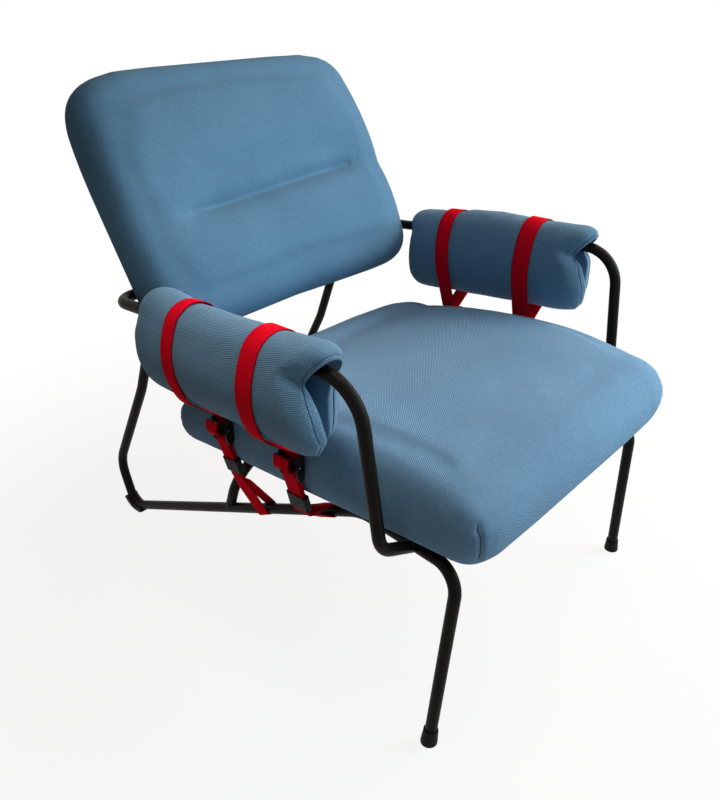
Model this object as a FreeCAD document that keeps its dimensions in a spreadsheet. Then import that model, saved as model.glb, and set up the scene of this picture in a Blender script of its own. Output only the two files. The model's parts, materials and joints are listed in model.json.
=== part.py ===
"""Lounge chair: bent steel tube frame, loose seat and back cushions, padded arm rolls held by webbing.

Millimetres, Z up, the front of the chair faces -Y, the floor is Z = 0 and X = 0 is the middle plane.
"""
import FreeCAD, Part
import math
import os
from FreeCAD import Placement, Rotation, Vector

os.makedirs("parts", exist_ok=True)
doc = FreeCAD.newDocument("LoungeChair")

# Driving dimensions
DIMENSIONS = [
    ("tube_od", 18, "outside diameter of every frame tube"),
    ("weld_gap", 0.02, "gap that a weld closes between coped tubes"),
    ("foot_x", 290, "front foot, distance from the middle plane"),
    ("foot_y", -395, "front foot, depth"),
    ("leg_top_x", 256, "front bend of the leg tube, from the middle plane"),
    ("leg_top_y", -402, "front bend of the leg tube, depth"),
    ("leg_top_z", 297, "front bend of the leg tube, height"),
    ("leg_bend", 38, "centreline radius of the front bend"),
    ("knee_x", 228, "knee where the seat bearer turns into the sloping rail"),
    ("knee_y", -209, "knee, depth"),
    ("knee_z", 284, "knee, height"),
    ("knee_bend", 120, "centreline radius of the knee"),
    ("heel_x", 242, "heel where the rail turns up from the floor"),
    ("heel_y", 414, "heel, depth"),
    ("heel_z", -0.1, "heel, height"),
    ("heel_bend", 30, "centreline radius of the floor bend"),
    ("hock_x", 242, "hock where the tube turns forward above the heel"),
    ("hock_y", 443.45, "hock, depth"),
    ("hock_z", 98, "hock, height"),
    ("hock_bend", 74, "centreline radius of the hock"),
    ("waist_x", 236.5, "slight bend of the upright behind the arm roll"),
    ("waist_y", 330, "slight bend, depth"),
    ("waist_z", 302, "slight bend, height"),
    ("waist_bend", 150, "centreline radius of the slight bend"),
    ("back_bar_y", 244, "rear crossbar of the arm tube, depth"),
    ("back_bar_z", 520, "rear crossbar, height"),
    ("upright_x", 231, "upright where it meets the rear crossbar"),
    ("arm_front_x", 331, "front corner of the arm, from the middle plane"),
    ("arm_front_y", -294, "front corner of the arm, depth"),
    ("arm_front_z", 564.5, "front corner of the arm, height"),
    ("arm_bend", 63, "centreline radius of the front arm corner"),
    ("arm_rear_x", 311, "rear corner of the arm, from the middle plane"),
    ("arm_rear_bend", 38, "centreline radius of the rear arm corner"),
    ("post_foot_x", 319, "lower corner of the arm post, from the middle plane"),
    ("post_foot_y", -322, "lower corner of the arm post, depth"),
    ("post_foot_z", 327.5, "lower corner of the arm post, height"),
    ("post_bend", 36, "centreline radius of the lower post corner"),
    ("bow_y", 98, "rear seat bow at the rails, depth"),
    ("bow_top_y", 56, "rear seat bow under the seat, depth"),
    ("bow_bend", 90, "centreline radius of the bow corners"),
    ("cap_od", 25, "front foot cap, diameter at the floor"),
    ("cap_high", 24, "front foot cap, length along the leg"),
    ("glide_wall", 3, "thickness of the rear glide under the tube"),
    ("seat_half", 286, "seat cushion, half width"),
    ("seat_long", 622, "seat cushion, front to back"),
    ("seat_thick", 130, "seat cushion, thickness"),
    ("seat_front_y", -450, "seat cushion, foremost point"),
    ("board_thick", 12, "plywood seat and back boards"),
    ("back_half", 295, "back cushion, half width"),
    ("back_high", 438, "back cushion, bottom to top along its slope"),
    ("back_thick", 110, "back cushion, thickness"),
    ("back_y", 137, "back cushion, bottom of its middle plane, depth"),
    ("back_z", 468, "back cushion, bottom of its middle plane, height"),
    ("back_lean", 31.3, "back cushion, lean from upright in degrees"),
    ("roll_z", 505, "arm roll, middle of its section at half length"),
    ("roll_drop", 19, "arm roll, fall of its middle line from front to rear"),
    ("roll_front", -244, "arm roll, front end"),
    ("roll_rear", 117, "arm roll, rear end"),
    ("roll_half_wide", 50, "arm roll, half width"),
    ("roll_half_high", 81, "arm roll, half height"),
    ("roll_nose", 40, "arm roll, radius over the top and under the bottom"),
    ("web_front_wide", 34, "webbing width of the front straps"),
    ("web_rear_wide", 30, "webbing width of the rear straps"),
    ("web_thick", 2, "webbing thickness"),
    ("strap_front_y", -144, "front strap on each roll, depth"),
    ("strap_rear_y", 25, "rear strap on each roll, depth"),
    ("strap_front_tilt", 0.5, "lean of the front straps in degrees"),
    ("strap_rear_tilt", 5, "lean of the rear straps in degrees"),
    ("buckle_play", 1, "cam buckle, width between its cheeks beyond the webbing"),
    ("cheek_thick", 2.5, "cam buckle, thickness of each cheek"),
    ("pin_dia", 3, "cam pin diameter"),
    ("pin_play", 0.05, "radial running clearance of the lever on its pin"),
    ("keeper_wall", 2, "webbing keeper, width beyond the webbing at each edge"),
    ("keeper_long", 26, "webbing keeper, length along the webbing"),
    ("bracket_wide", 40, "back bracket width"),
    ("bracket_thick", 3, "back bracket and seat tab thickness"),
]
sheet = doc.addObject("Spreadsheet::Sheet", "Dims")
for row, (alias, value, note) in enumerate(DIMENSIONS, start=1):
    sheet.set("A%d" % row, alias)
    sheet.set("B%d" % row, str(value))
    sheet.set("C%d" % row, note)
    sheet.setAlias("B%d" % row, alias)
doc.recompute()


def dim(alias):
    return float(sheet.get(alias))


tube_r = dim("tube_od") / 2.0
nodes = []


def node(obj, label):
    obj.Label = label
    nodes.append(obj)
    return obj


def mirrored(point):
    return Vector(-point.x, point.y, point.z)


# Bent tubes


def bent_wire(points, radii):
    """Straight runs joined by tangent arcs of the given centreline radii."""
    edges = []
    start = points[0]
    for before, corner, after, radius in zip(points, points[1:], points[2:], radii):
        to_before = (before - corner).normalize()
        to_after = (after - corner).normalize()
        half = to_before.getAngle(to_after) / 2.0
        first = corner + to_before * (radius / math.tan(half))
        last = corner + to_after * (radius / math.tan(half))
        inward = (to_before + to_after).normalize()
        middle = corner + inward * (radius / math.sin(half) - radius)
        edges.append(Part.makeLine(start, first))
        edges.append(Part.Arc(first, middle, last).toShape())
        start = last
    edges.append(Part.makeLine(start, points[-1]))
    return Part.Wire(edges)


def bent_tube(name, points, radii):
    """Tube along a bent centreline, drawn solid because caps and welds close every end."""
    ring = Part.Wire(Part.makeCircle(tube_r, points[0], points[1] - points[0]))
    tube = doc.addObject("Part::Feature", name)
    tube.Shape = bent_wire(points, radii).makePipe(Part.Face(ring))
    return tube


def cope(name, start, end):
    """Rod along a straight run of tube, to shape whatever is welded against that run."""
    rod = doc.addObject("Part::Cylinder", name)
    rod.setExpression("Radius", "Dims.tube_od / 2 + Dims.weld_gap")
    rod.Height = (end - start).Length
    rod.Placement = Placement(start, Rotation(Vector(0, 0, 1), end - start))
    return rod


def coped(name, body, *tools):
    """Cut a piece to the outside of the tubes that it is welded to."""
    for index, tool in enumerate(tools):
        cut = doc.addObject("Part::Cut", "%s_coped_%d" % (name, index))
        cut.Base = body
        cut.Tool = tool
        body = cut
    return body


foot = Vector(dim("foot_x"), dim("foot_y"), 0)
leg_top = Vector(dim("leg_top_x"), dim("leg_top_y"), dim("leg_top_z"))
knee = Vector(dim("knee_x"), dim("knee_y"), dim("knee_z"))
heel = Vector(dim("heel_x"), dim("heel_y"), dim("heel_z"))
hock = Vector(dim("hock_x"), dim("hock_y"), dim("hock_z"))
waist = Vector(dim("waist_x"), dim("waist_y"), dim("waist_z"))
upright_top = Vector(dim("upright_x"), dim("back_bar_y"), dim("back_bar_z"))
leg_axis = (leg_top - foot).normalize()
CAP_FLOOR = 5.0
tube_end = foot + leg_axis * CAP_FLOOR

arm_front = Vector(dim("arm_front_x"), dim("arm_front_y"), dim("arm_front_z"))
arm_rear = Vector(dim("arm_rear_x"), dim("back_bar_y"), dim("back_bar_z"))
post_foot = Vector(dim("post_foot_x"), dim("post_foot_y"), dim("post_foot_z"))
share = (dim("post_foot_y") - leg_top.y) / (knee.y - leg_top.y)
weld = leg_top + (knee - leg_top) * share

leg_points = [tube_end, leg_top, knee, heel, hock, waist, upright_top]
leg_radii = [dim(bend + "_bend") for bend in ("leg", "knee", "heel", "hock", "waist")]
half_arm = [weld, post_foot, arm_front, arm_rear]
arm_points = half_arm + [mirrored(p) for p in reversed(half_arm)]
arm_radii = [dim("post_bend"), dim("arm_bend"), dim("arm_rear_bend")]
arm_radii = arm_radii + arm_radii[::-1]

bearer = {"right": cope("bearer_right", leg_top, knee)}
bearer["left"] = cope("bearer_left", mirrored(leg_top), mirrored(knee))
rail = {"right": cope("rail_right", knee, heel)}
rail["left"] = cope("rail_left", mirrored(knee), mirrored(heel))
crossbar = cope("crossbar", mirrored(arm_rear), arm_rear)

# The seat rests on the bearers at the front and on the bow at the rear
seat_slope = math.atan2(knee.z - leg_top.z, knee.y - leg_top.y)
seat_under = leg_top.z + tube_r / math.cos(seat_slope)


def seat_floor(depth):
    """Height of the underside of the seat."""
    return seat_under + (depth - leg_top.y) * math.tan(seat_slope)


def rail_point(depth):
    return knee + (heel - knee) * ((depth - knee.y) / (heel.y - knee.y))


CROSS_TRIM = 3.0
bow_foot = rail_point(dim("bow_y"))
bow_top_y = dim("bow_top_y")
bow_top = Vector(bow_foot.x, bow_top_y, seat_floor(bow_top_y) - tube_r / math.cos(seat_slope))
bow_points = [bow_foot, bow_top, mirrored(bow_top), mirrored(bow_foot)]

leg_right = bent_tube("leg_right", leg_points, leg_radii)
leg_left = bent_tube("leg_left", [mirrored(p) for p in leg_points], leg_radii)
arm_bent = bent_tube("arm", arm_points, arm_radii)
cross_end = weld - Vector(CROSS_TRIM, 0, 0)
cross_bent = bent_tube("cross", [cross_end, mirrored(cross_end)], [])
bow_bent = bent_tube("bow", bow_points, [dim("bow_bend")] * 2)

node(coped("leg_right", leg_right, crossbar), "leg_rail_right")
node(coped("leg_left", leg_left, crossbar), "leg_rail_left")
node(coped("arm", arm_bent, bearer["right"], bearer["left"]), "arm_tube")
node(coped("cross", cross_bent, bearer["right"], bearer["left"]), "front_cross_tube")
node(coped("bow", bow_bent, rail["right"], rail["left"]), "rear_seat_bow")


# Sketched bodies


def new_body(name):
    return doc.addObject("PartDesign::Body", name)


def origin_plane(body, role):
    return [f for f in body.Origin.OriginFeatures if f.Role == role][0]


def new_sketch(body, name, role, offset=0.0):
    sketch = body.newObject("Sketcher::SketchObject", name)
    sketch.AttachmentSupport = [(origin_plane(body, role), "")]
    sketch.MapMode = "FlatFace"
    sketch.AttachmentOffset = Placement(Vector(0, 0, offset), Rotation())
    return sketch


def flat(point):
    return Vector(point[0], point[1], 0)


def line(a, b):
    return Part.LineSegment(flat(a), flat(b))


def arc(a, b, c):
    return Part.Arc(flat(a), flat(b), flat(c))


def circle(centre, radius):
    return Part.Circle(flat(centre), Vector(0, 0, 1), radius)


def polygon(points):
    return [line(a, b) for a, b in zip(points, points[1:] + points[:1])]


def rounded_box(x0, x1, y0, y1, r):
    k = r * (1 - math.sqrt(0.5))
    return [
        line((x0 + r, y0), (x1 - r, y0)),
        arc((x1 - r, y0), (x1 - k, y0 + k), (x1, y0 + r)),
        line((x1, y0 + r), (x1, y1 - r)),
        arc((x1, y1 - r), (x1 - k, y1 - k), (x1 - r, y1)),
        line((x1 - r, y1), (x0 + r, y1)),
        arc((x0 + r, y1), (x0 + k, y1 - k), (x0, y1 - r)),
        line((x0, y1 - r), (x0, y0 + r)),
        arc((x0, y0 + r), (x0 + k, y0 + k), (x0 + r, y0)),
    ]


def pad(body, sketch, name, length, midplane=True):
    feature = body.newObject("PartDesign::Pad", name)
    feature.Profile = sketch
    feature.SideType = "Symmetric" if midplane else "One side"
    if isinstance(length, str):
        feature.setExpression("Length", length)
    else:
        feature.Length = length
    return feature


def pocket(body, sketch, name, length, midplane=True):
    feature = body.newObject("PartDesign::Pocket", name)
    feature.Profile = sketch
    feature.SideType = "Symmetric" if midplane else "One side"
    if isinstance(length, str):
        feature.setExpression("Length", length)
    else:
        feature.Length = length
    return feature


def loft(body, name, role, stations, ruled=False):
    """Loft through closed outlines, one for each (offset, edges) station."""
    sketches = []
    for index, (offset, edges) in enumerate(stations):
        sketch = new_sketch(body, "%s_%d" % (name, index), role, offset)
        sketch.addGeometry(edges, False)
        sketches.append(sketch)
    feature = body.newObject("PartDesign::AdditiveLoft", name)
    feature.Profile = sketches[0]
    feature.Sections = sketches[1:]
    feature.Ruled = ruled
    return feature


def trim_below(body, name, reach):
    """Leave nothing of a lofted cushion below its own base plane."""
    sketch = new_sketch(body, name, "XY_Plane")
    corners = [(-reach, -reach), (reach, -reach), (reach, reach), (-reach, reach)]
    sketch.addGeometry(polygon(corners), False)
    return pocket(body, sketch, name + "_cut", 30, midplane=False)


RECESS_PLAY = 0.4


def grown(box):
    """A board outline with the play of its recess."""
    return (box[0] - RECESS_PLAY, box[1] + RECESS_PLAY, box[2] - RECESS_PLAY, box[3] + RECESS_PLAY)


# Front foot caps: a flared sleeve on each leg, cut level with the floor


def foot_cap(side, base, axis):
    body = new_body("cap_%s" % side)
    sketch = new_sketch(body, "cap_%s_section" % side, "XZ_Plane")
    sleeve = tube_r + 1.8
    high = dim("cap_high")
    wide = dim("cap_od") / 2.0
    outside = [(0, -8), (wide, -8), (wide, 3), (sleeve, high)]
    inside = [(tube_r + 0.05, high), (tube_r + 0.05, CAP_FLOOR), (0, CAP_FLOOR)]
    sketch.addGeometry(polygon(outside + inside), False)
    turn = body.newObject("PartDesign::Revolution", "cap_%s_turn" % side)
    turn.Profile = sketch
    turn.ReferenceAxis = (sketch, ["V_Axis"])
    turn.Angle = 360
    body.Placement = Placement(base, Rotation(Vector(0, 0, 1), axis))
    floor = doc.addObject("Part::Box", "cap_%s_floor" % side)
    floor.Length, floor.Width, floor.Height = 80, 80, 40
    floor.Placement = Placement(Vector(base.x - 40, base.y - 40, -40), Rotation())
    cut = doc.addObject("Part::Cut", "cap_%s_level" % side)
    cut.Base = body
    cut.Tool = floor
    return node(cut, "foot_cap_%s" % side)


foot_cap("right", foot, leg_axis)
foot_cap("left", mirrored(foot), mirrored(leg_axis))


# Rear glides: a saddle under each floor bend, flat where it rests


GLIDE_SWEEP = 84.0


def rear_glide(side, points):
    rail_way = (points[0] - points[1]).normalize()
    rise_way = (points[2] - points[1]).normalize()
    half = rail_way.getAngle(rise_way) / 2.0
    bend = dim("heel_bend")
    centre = points[1] + (rail_way + rise_way).normalize() * (bend / math.sin(half))
    start = (points[1] + rail_way * (bend / math.tan(half)) - centre).normalize()
    travel = rail_way * -1
    axis = start.cross(travel)
    half_wide = tube_r + dim("glide_wall")
    shoe = doc.addObject("Part::Cylinder", "glide_%s_shoe" % side)
    shoe.setExpression("Radius", "Dims.heel_bend + Dims.tube_od / 2 + Dims.glide_wall")
    shoe.Height = 2 * half_wide
    shoe.Angle = GLIDE_SWEEP
    spin = Rotation(start, travel, axis, "ZXY")
    shoe.Placement = Placement(centre - axis * half_wide, spin)
    core = doc.addObject("Part::Torus", "glide_%s_core" % side)
    core.setExpression("Radius1", "Dims.heel_bend")
    core.setExpression("Radius2", "Dims.tube_od / 2")
    core.Placement = Placement(centre, spin)
    mouth = doc.addObject("Part::Cylinder", "glide_%s_mouth" % side)
    mouth.setExpression("Radius", "Dims.heel_bend + 1")
    mouth.Height = 60
    mouth.Placement = Placement(centre - axis * 30, spin)
    floor = doc.addObject("Part::Box", "glide_%s_floor" % side)
    floor.Length, floor.Width, floor.Height = 80, 120, 40
    floor.Placement = Placement(Vector(centre.x - 40, centre.y - 60, -40), Rotation())
    return node(coped("glide_%s" % side, shoe, core, mouth, floor), "rear_glide_%s" % side)


rear_glide("right", leg_points[2:])
rear_glide("left", [mirrored(p) for p in leg_points[2:]])


# Seat: cushion lofted across the width through its side profile, plywood board let into its underside

seat_front = Vector(0, dim("seat_front_y"), seat_floor(dim("seat_front_y")))
seat_place = Placement(seat_front, Rotation(Vector(1, 0, 0), math.degrees(seat_slope)))
long = dim("seat_long")
thick = dim("seat_thick")


def seat_profile(inset, low, high, groove):
    """Side profile: flat underside, full rounded front, crowned top with a sewn groove near the back."""
    front = inset
    rear = long - inset
    crease = 494.0
    top = thick - high
    return [
        line((front + 30, low), (rear - 26, low)),
        arc((rear - 26, low), (rear, (low + top) / 2 - 8), (rear - 30, top - 26)),
        arc((rear - 30, top - 26), ((rear - 30 + crease) / 2, top - 14), (crease, top - 14 - groove)),
        arc((crease, top - 14 - groove), (250, top), (front + 46, top - 12)),
        arc((front + 46, top - 12), (front, (low + top) / 2 - 4), (front + 30, low)),
    ]


half = dim("seat_half")
seat = new_body("seat")
seat_shape = [
    (half, 40, 46, 50, 0),
    (half - 5, 23, 28, 28, 1),
    (half - 17, 10, 15, 13, 2),
    (half - 34, 5, 7, 7, 4),
    (half - 62, 2, 0, 3, 6),
    (half - 150, 0, 0, 0, 9),
]
stations = [(-x, seat_profile(*rest)) for x, *rest in seat_shape]
stations += [(x, seat_profile(*rest)) for x, *rest in reversed(seat_shape)]
loft(seat, "seat_loft", "YZ_Plane", stations, ruled=True)
trim_below(seat, "seat_base", 800)
seat_panel = (-half + 50, half - 50, 34, long - 34)
recess = new_sketch(seat, "seat_recess", "XY_Plane")
recess.addGeometry(rounded_box(*grown(seat_panel), 40 + RECESS_PLAY), False)
cut = pocket(seat, recess, "seat_recess_cut", "Dims.board_thick", midplane=False)
cut.Reversed = True
seat.Placement = seat_place
node(seat, "seat_cushion")

board = new_body("seat_panel")
outline = new_sketch(board, "seat_panel_outline", "XY_Plane")
outline.addGeometry(rounded_box(*seat_panel, 40), False)
pad(board, outline, "seat_panel_pad", "Dims.board_thick", midplane=False)
TAB_SEATS = [(sign * 212, depth) for sign in (-1, 1) for depth in (78, 190)]
pilot = new_sketch(board, "seat_panel_pilots", "XY_Plane")
pilot.addGeometry([circle(p, 2.1) for p in TAB_SEATS], False)
cut = pocket(board, pilot, "seat_panel_pilot_cut", 10, midplane=False)
cut.Reversed = True
board.Placement = seat_place
node(board, "seat_board")


def on_seat(x, y, z):
    return seat_place.multVec(Vector(x, y, z))


# Seat tabs welded to the bearers, with one wood screw through each into the board


def compound(label, parts):
    group = doc.addObject("Part::Compound", label)
    group.Links = parts
    return node(group, label)


def pan_screw(name, at, direction, length):
    """Pan-head wood screw: head under the bearing face at the given point, shank along the direction."""
    body = new_body(name)
    sketch = new_sketch(body, name + "_section", "XZ_Plane")
    half_section = [(0, length), (1.9, length), (1.9, 0), (4.2, 0), (3.6, -2.4), (0, -2.4)]
    sketch.addGeometry(polygon(half_section), False)
    turn = body.newObject("PartDesign::Revolution", name + "_turn")
    turn.Profile = sketch
    turn.ReferenceAxis = (sketch, ["V_Axis"])
    turn.Angle = 360
    body.Placement = Placement(at, Rotation(Vector(0, 0, 1), direction))
    return body


tabs = []
screws = []
up_seat = seat_place.Rotation.multVec(Vector(0, 0, 1))
for index, (x, depth) in enumerate(TAB_SEATS):
    sign = 1 if x > 0 else -1
    tab = new_body("tab_%d" % index)
    sketch = new_sketch(tab, "tab_%d_outline" % index, "XY_Plane")
    share = (on_seat(x, depth, 0).y - leg_top.y) / (knee.y - leg_top.y)
    bearer_x = leg_top.x + (knee.x - leg_top.x) * share
    inner, outer = x - sign * 14, sign * (bearer_x - 2)
    corners = [(inner, depth - 13), (outer, depth - 13), (outer, depth + 13), (inner, depth + 13)]
    sketch.addGeometry(polygon(corners), False)
    sketch.addGeometry(circle((x, depth), 2.3), False)
    pad(tab, sketch, "tab_%d_pad" % index, "Dims.bracket_thick", midplane=False)
    tab.Placement = seat_place.multiply(Placement(Vector(0, 0, -dim("bracket_thick")), Rotation()))
    tabs.append(coped("tab_%d" % index, tab, bearer["right" if sign > 0 else "left"]))
    screws.append(pan_screw("seat_screw_%d" % index, on_seat(x, depth, -dim("bracket_thick")), up_seat, 12))
compound("seat_tabs", tabs)
compound("seat_screws", screws)


# Back: cushion lofted across the width, board let into the rear face, two brackets welded to the crossbar

lean = dim("back_lean")
tall = dim("back_high")
deep = dim("back_thick")
back_up = Vector(0, math.sin(math.radians(lean)), math.cos(math.radians(lean)))
back_out = Vector(0, -math.cos(math.radians(lean)), math.sin(math.radians(lean)))
back_foot = Vector(0, dim("back_y"), dim("back_z")) - back_out * (deep / 2.0)
back_place = Placement(back_foot, Rotation(Vector(1, 0, 0), 90 - lean))


def back_profile(bottom, top, rear, front, groove):
    """Side profile seen along X: depth axis up the back, height axis out of the front face."""
    crease = 192.0
    out = deep - front
    return [
        line((bottom + 20, rear), (tall - top - 24, rear)),
        arc((tall - top - 24, rear), (tall - top, (rear + out) / 2 - 4), (tall - top - 34, out - 14)),
        arc((tall - top - 34, out - 14), (crease + 104, out), (crease, out - 3 - groove)),
        arc((crease, out - 3 - groove), (crease - 84, out - 1), (bottom + 30, out - 12)),
        arc((bottom + 30, out - 12), (bottom, (rear + out) / 2 - 4), (bottom + 20, rear)),
    ]


half = dim("back_half")
back = new_body("back")
back_shape = [
    (half, 50, 72, 36, 36, 0),
    (half - 5, 31, 50, 19, 19, 0),
    (half - 20, 10, 26, 6, 8, 2),
    (half - 46, 2, 10, 0, 2, 4),
    (half - 90, 0, 2, 0, 0, 9),
    (half - 170, 1, 0, 0, 0, 15),
    (0, 4, 0, 0, 0, 18),
]
stations = [(-x, back_profile(*rest)) for x, *rest in back_shape[:-1]]
stations += [(x, back_profile(*rest)) for x, *rest in reversed(back_shape)]
loft(back, "back_loft", "YZ_Plane", stations, ruled=True)
trim_below(back, "back_base", 800)
panel = (-half + 44, half - 44, 58, tall - 50)
recess = new_sketch(back, "back_recess", "XY_Plane")
recess.addGeometry(rounded_box(*grown(panel), 50 + RECESS_PLAY), False)
cut = pocket(back, recess, "back_recess_cut", "Dims.board_thick", midplane=False)
cut.Reversed = True
back.Placement = back_place
node(back, "back_cushion")

board = new_body("back_panel")
outline = new_sketch(board, "back_panel_outline", "XY_Plane")
outline.addGeometry(rounded_box(*panel, 50), False)
pad(board, outline, "back_panel_pad", "Dims.board_thick", midplane=False)
BRACKET_X = (-150, 150)
BRACKET_HOLES = (146, 230)
pilot = new_sketch(board, "back_panel_pilots", "XY_Plane")
pilot.addGeometry([circle((x, s), 2.1) for x in BRACKET_X for s in BRACKET_HOLES], False)
cut = pocket(board, pilot, "back_panel_pilot_cut", 10, midplane=False)
cut.Reversed = True
board.Placement = back_place
node(board, "back_board")

screws = []
for index, x in enumerate(BRACKET_X):
    side = ("left", "right")[index]
    plate = new_body("plate_%s" % side)
    sketch = new_sketch(plate, "plate_%s_outline" % side, "XY_Plane")
    wide = dim("bracket_wide") / 2.0
    sketch.addGeometry(rounded_box(x - wide, x + wide, 96, 252, 8), False)
    sketch.addGeometry([circle((x, s), 2.3) for s in BRACKET_HOLES], False)
    pad(plate, sketch, "plate_%s_pad" % side, "Dims.bracket_thick", midplane=False)
    plate.Placement = back_place.multiply(Placement(Vector(0, 0, -dim("bracket_thick")), Rotation()))
    node(coped("plate_%s" % side, plate, crossbar), "back_bracket_%s" % side)
    for s in BRACKET_HOLES:
        seat_at = back_place.multVec(Vector(x, s, -dim("bracket_thick")))
        screws.append(pan_screw("back_screw_%s_%d" % (side, s), seat_at, back_out, 12))
compound("back_screws", screws)


# Arm rolls: a pad folded over the arm tube, open along the bottom

a = dim("roll_half_wide")
b = dim("roll_half_high")
nose = dim("roll_nose")
nose_w = b - nose
flank = (a * a + nose_w * nose_w - nose * nose) / (2.0 * (a - nose))
flank_u = flank - a
joint_dir = (flank_u / (flank - nose), nose_w / (flank - nose))


ROLL_HOLLOW = 18.0
ROLL_SLIT = 2.0
FLAP_TOP = -58.0


def roll_profile(scale, lift, aside, crest):
    """Folded section: oval outside, teardrop hollow over the tube, the two edges nearly meeting below."""
    ju = scale * nose * joint_dir[0]
    jw = scale * (nose_w + nose * joint_dir[1])
    low = scale * (nose_w + math.sqrt(nose * nose - ROLL_SLIT * ROLL_SLIT))
    swing = math.radians(35)
    bu = scale * nose * math.sin(swing)
    bw = scale * (nose_w + nose * math.cos(swing))
    k = ROLL_HOLLOW * math.sqrt(0.5)
    points = {
        "edge_out": (-ROLL_SLIT, -low), "belly_out": (-bu, -bw), "low_out": (-ju, -jw),
        "side_out": (-scale * a, 0), "high_out": (-ju, jw), "top": (0, scale * b),
        "high_in": (ju, jw), "side_in": (scale * a, 0), "low_in": (ju, -jw),
        "belly_in": (bu, -bw), "edge_in": (ROLL_SLIT, -low), "flap_in": (ROLL_SLIT, FLAP_TOP),
        "hang_in": (ROLL_HOLLOW, crest), "bow_in": (k, crest + k),
        "crown": (0, crest + ROLL_HOLLOW), "bow_out": (-k, crest + k),
        "hang_out": (-ROLL_HOLLOW, crest), "flap_out": (-ROLL_SLIT, FLAP_TOP),
    }
    at = {key: (u + aside, w + lift) for key, (u, w) in points.items()}
    return [
        arc(at["edge_out"], at["belly_out"], at["low_out"]),
        arc(at["low_out"], at["side_out"], at["high_out"]),
        arc(at["high_out"], at["top"], at["high_in"]),
        arc(at["high_in"], at["side_in"], at["low_in"]),
        arc(at["low_in"], at["belly_in"], at["edge_in"]),
        line(at["edge_in"], at["flap_in"]),
        line(at["flap_in"], at["hang_in"]),
        arc(at["hang_in"], at["bow_in"], at["crown"]),
        arc(at["crown"], at["bow_out"], at["hang_out"]),
        line(at["hang_out"], at["flap_out"]),
        line(at["flap_out"], at["edge_out"]),
    ]


def arm_point(depth):
    return arm_front + (arm_rear - arm_front) * ((depth - arm_front.y) / (arm_rear.y - arm_front.y))


def roll_lift(depth):
    """Height of the middle of the roll section above its height at half length."""
    front, rear = dim("roll_front"), dim("roll_rear")
    return dim("roll_drop") * ((front + rear) / 2.0 - depth) / (rear - front)


def arm_roll(side, sign):
    body = new_body("roll_%s" % side)
    front = dim("roll_front")
    rear = dim("roll_rear")
    marks = [(front, 0.94), (front + 14, 1.0), ((front + rear) / 2, 1.0), (rear - 18, 1.0), (rear, 0.88)]
    stations = []
    for depth, scale in marks:
        tube = arm_point(depth)
        lift = roll_lift(depth)
        crest = tube.z - dim("roll_z") - lift + tube_r + 0.3 - ROLL_HOLLOW
        stations.append((-depth, roll_profile(scale, lift, sign * tube.x, crest)))
    loft(body, "roll_%s_loft" % side, "XZ_Plane", stations, ruled=True)
    body.Placement = Placement(Vector(0, 0, dim("roll_z")), Rotation())
    return node(body, "arm_roll_%s" % side)


arm_roll("right", 1)
arm_roll("left", -1)


# Webbing, buckles and keepers, drawn in the plane across each strap
# First axis: towards the middle of the chair, second axis: up, origin: middle of the roll section


def unit(v):
    size = math.hypot(*v)
    return (v[0] / size, v[1] / size)


def band(points, radii, thickness, closed=False):
    """Outline edges of a strip of webbing along a path with rounded corners, seen edge on."""
    h = thickness / 2.0
    count = len(points)
    corners = range(count) if closed else range(1, count - 1)
    sides = {1: [], -1: []}
    for i in corners:
        p, q, r = points[i - 1], points[i], points[(i + 1) % count]
        before = unit((q[0] - p[0], q[1] - p[1]))
        after = unit((r[0] - q[0], r[1] - q[1]))
        turn = before[0] * after[1] - before[1] * after[0]
        angle = math.acos(max(-1.0, min(1.0, before[0] * after[0] + before[1] * after[1])))
        radius = radii[i if closed else i - 1]
        reach = radius * math.tan(angle / 2.0)
        way = 1 if turn > 0 else -1
        first = (q[0] - before[0] * reach, q[1] - before[1] * reach)
        last = (q[0] + after[0] * reach, q[1] + after[1] * reach)
        centre = (first[0] - way * before[1] * radius, first[1] + way * before[0] * radius)
        middle = unit((q[0] - centre[0], q[1] - centre[1]))
        for side in (1, -1):
            size = radius - way * side * h
            start = (first[0] - side * before[1] * h, first[1] + side * before[0] * h)
            end = (last[0] - side * after[1] * h, last[1] + side * after[0] * h)
            mid = (centre[0] + middle[0] * size, centre[1] + middle[1] * size)
            sides[side].append((start, mid, end))
    edges = []
    for side in (1, -1):
        arcs = sides[side]
        edges += [arc(*triple) for triple in arcs]
        for one, two in zip(arcs, arcs[1:]):
            if math.dist(one[2], two[0]) > 0.001:
                edges.append(line(one[2], two[0]))
        if closed and math.dist(arcs[-1][2], arcs[0][0]) > 0.001:
            edges.append(line(arcs[-1][2], arcs[0][0]))
    if not closed:
        ends = []
        for tip, near, triple in ((points[0], points[1], 0), (points[-1], points[-2], -1)):
            along = unit((near[0] - tip[0], near[1] - tip[1]))
            way = 1 if triple == 0 else -1
            pair = []
            for side in (1, -1):
                offset = (tip[0] - way * side * along[1] * h, tip[1] + way * side * along[0] * h)
                joint = sides[side][triple][0 if triple == 0 else 2]
                edges.append(line(offset, joint))
                pair.append(offset)
            ends.append(pair)
        edges += [line(*pair) for pair in ends]
    return edges


def touch(point, centre, radius, way):
    """Where a line from a point grazes a circle, counted clockwise (way 1) or the other way (-1)."""
    away = (point[0] - centre[0], point[1] - centre[1])
    angle = math.atan2(away[1], away[0]) - way * math.acos(radius / math.hypot(*away))
    return (centre[0] + radius * math.cos(angle), centre[1] + radius * math.sin(angle))


def meet(p, q, r, along):
    """Where the line through two points crosses the line through a third in a given direction."""
    d = (q[0] - p[0], q[1] - p[1])
    size = ((r[0] - p[0]) * along[1] - (r[1] - p[1]) * along[0]) / (d[0] * along[1] - d[1] * along[0])
    return (p[0] + d[0] * size, p[1] + d[1] * size)


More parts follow.
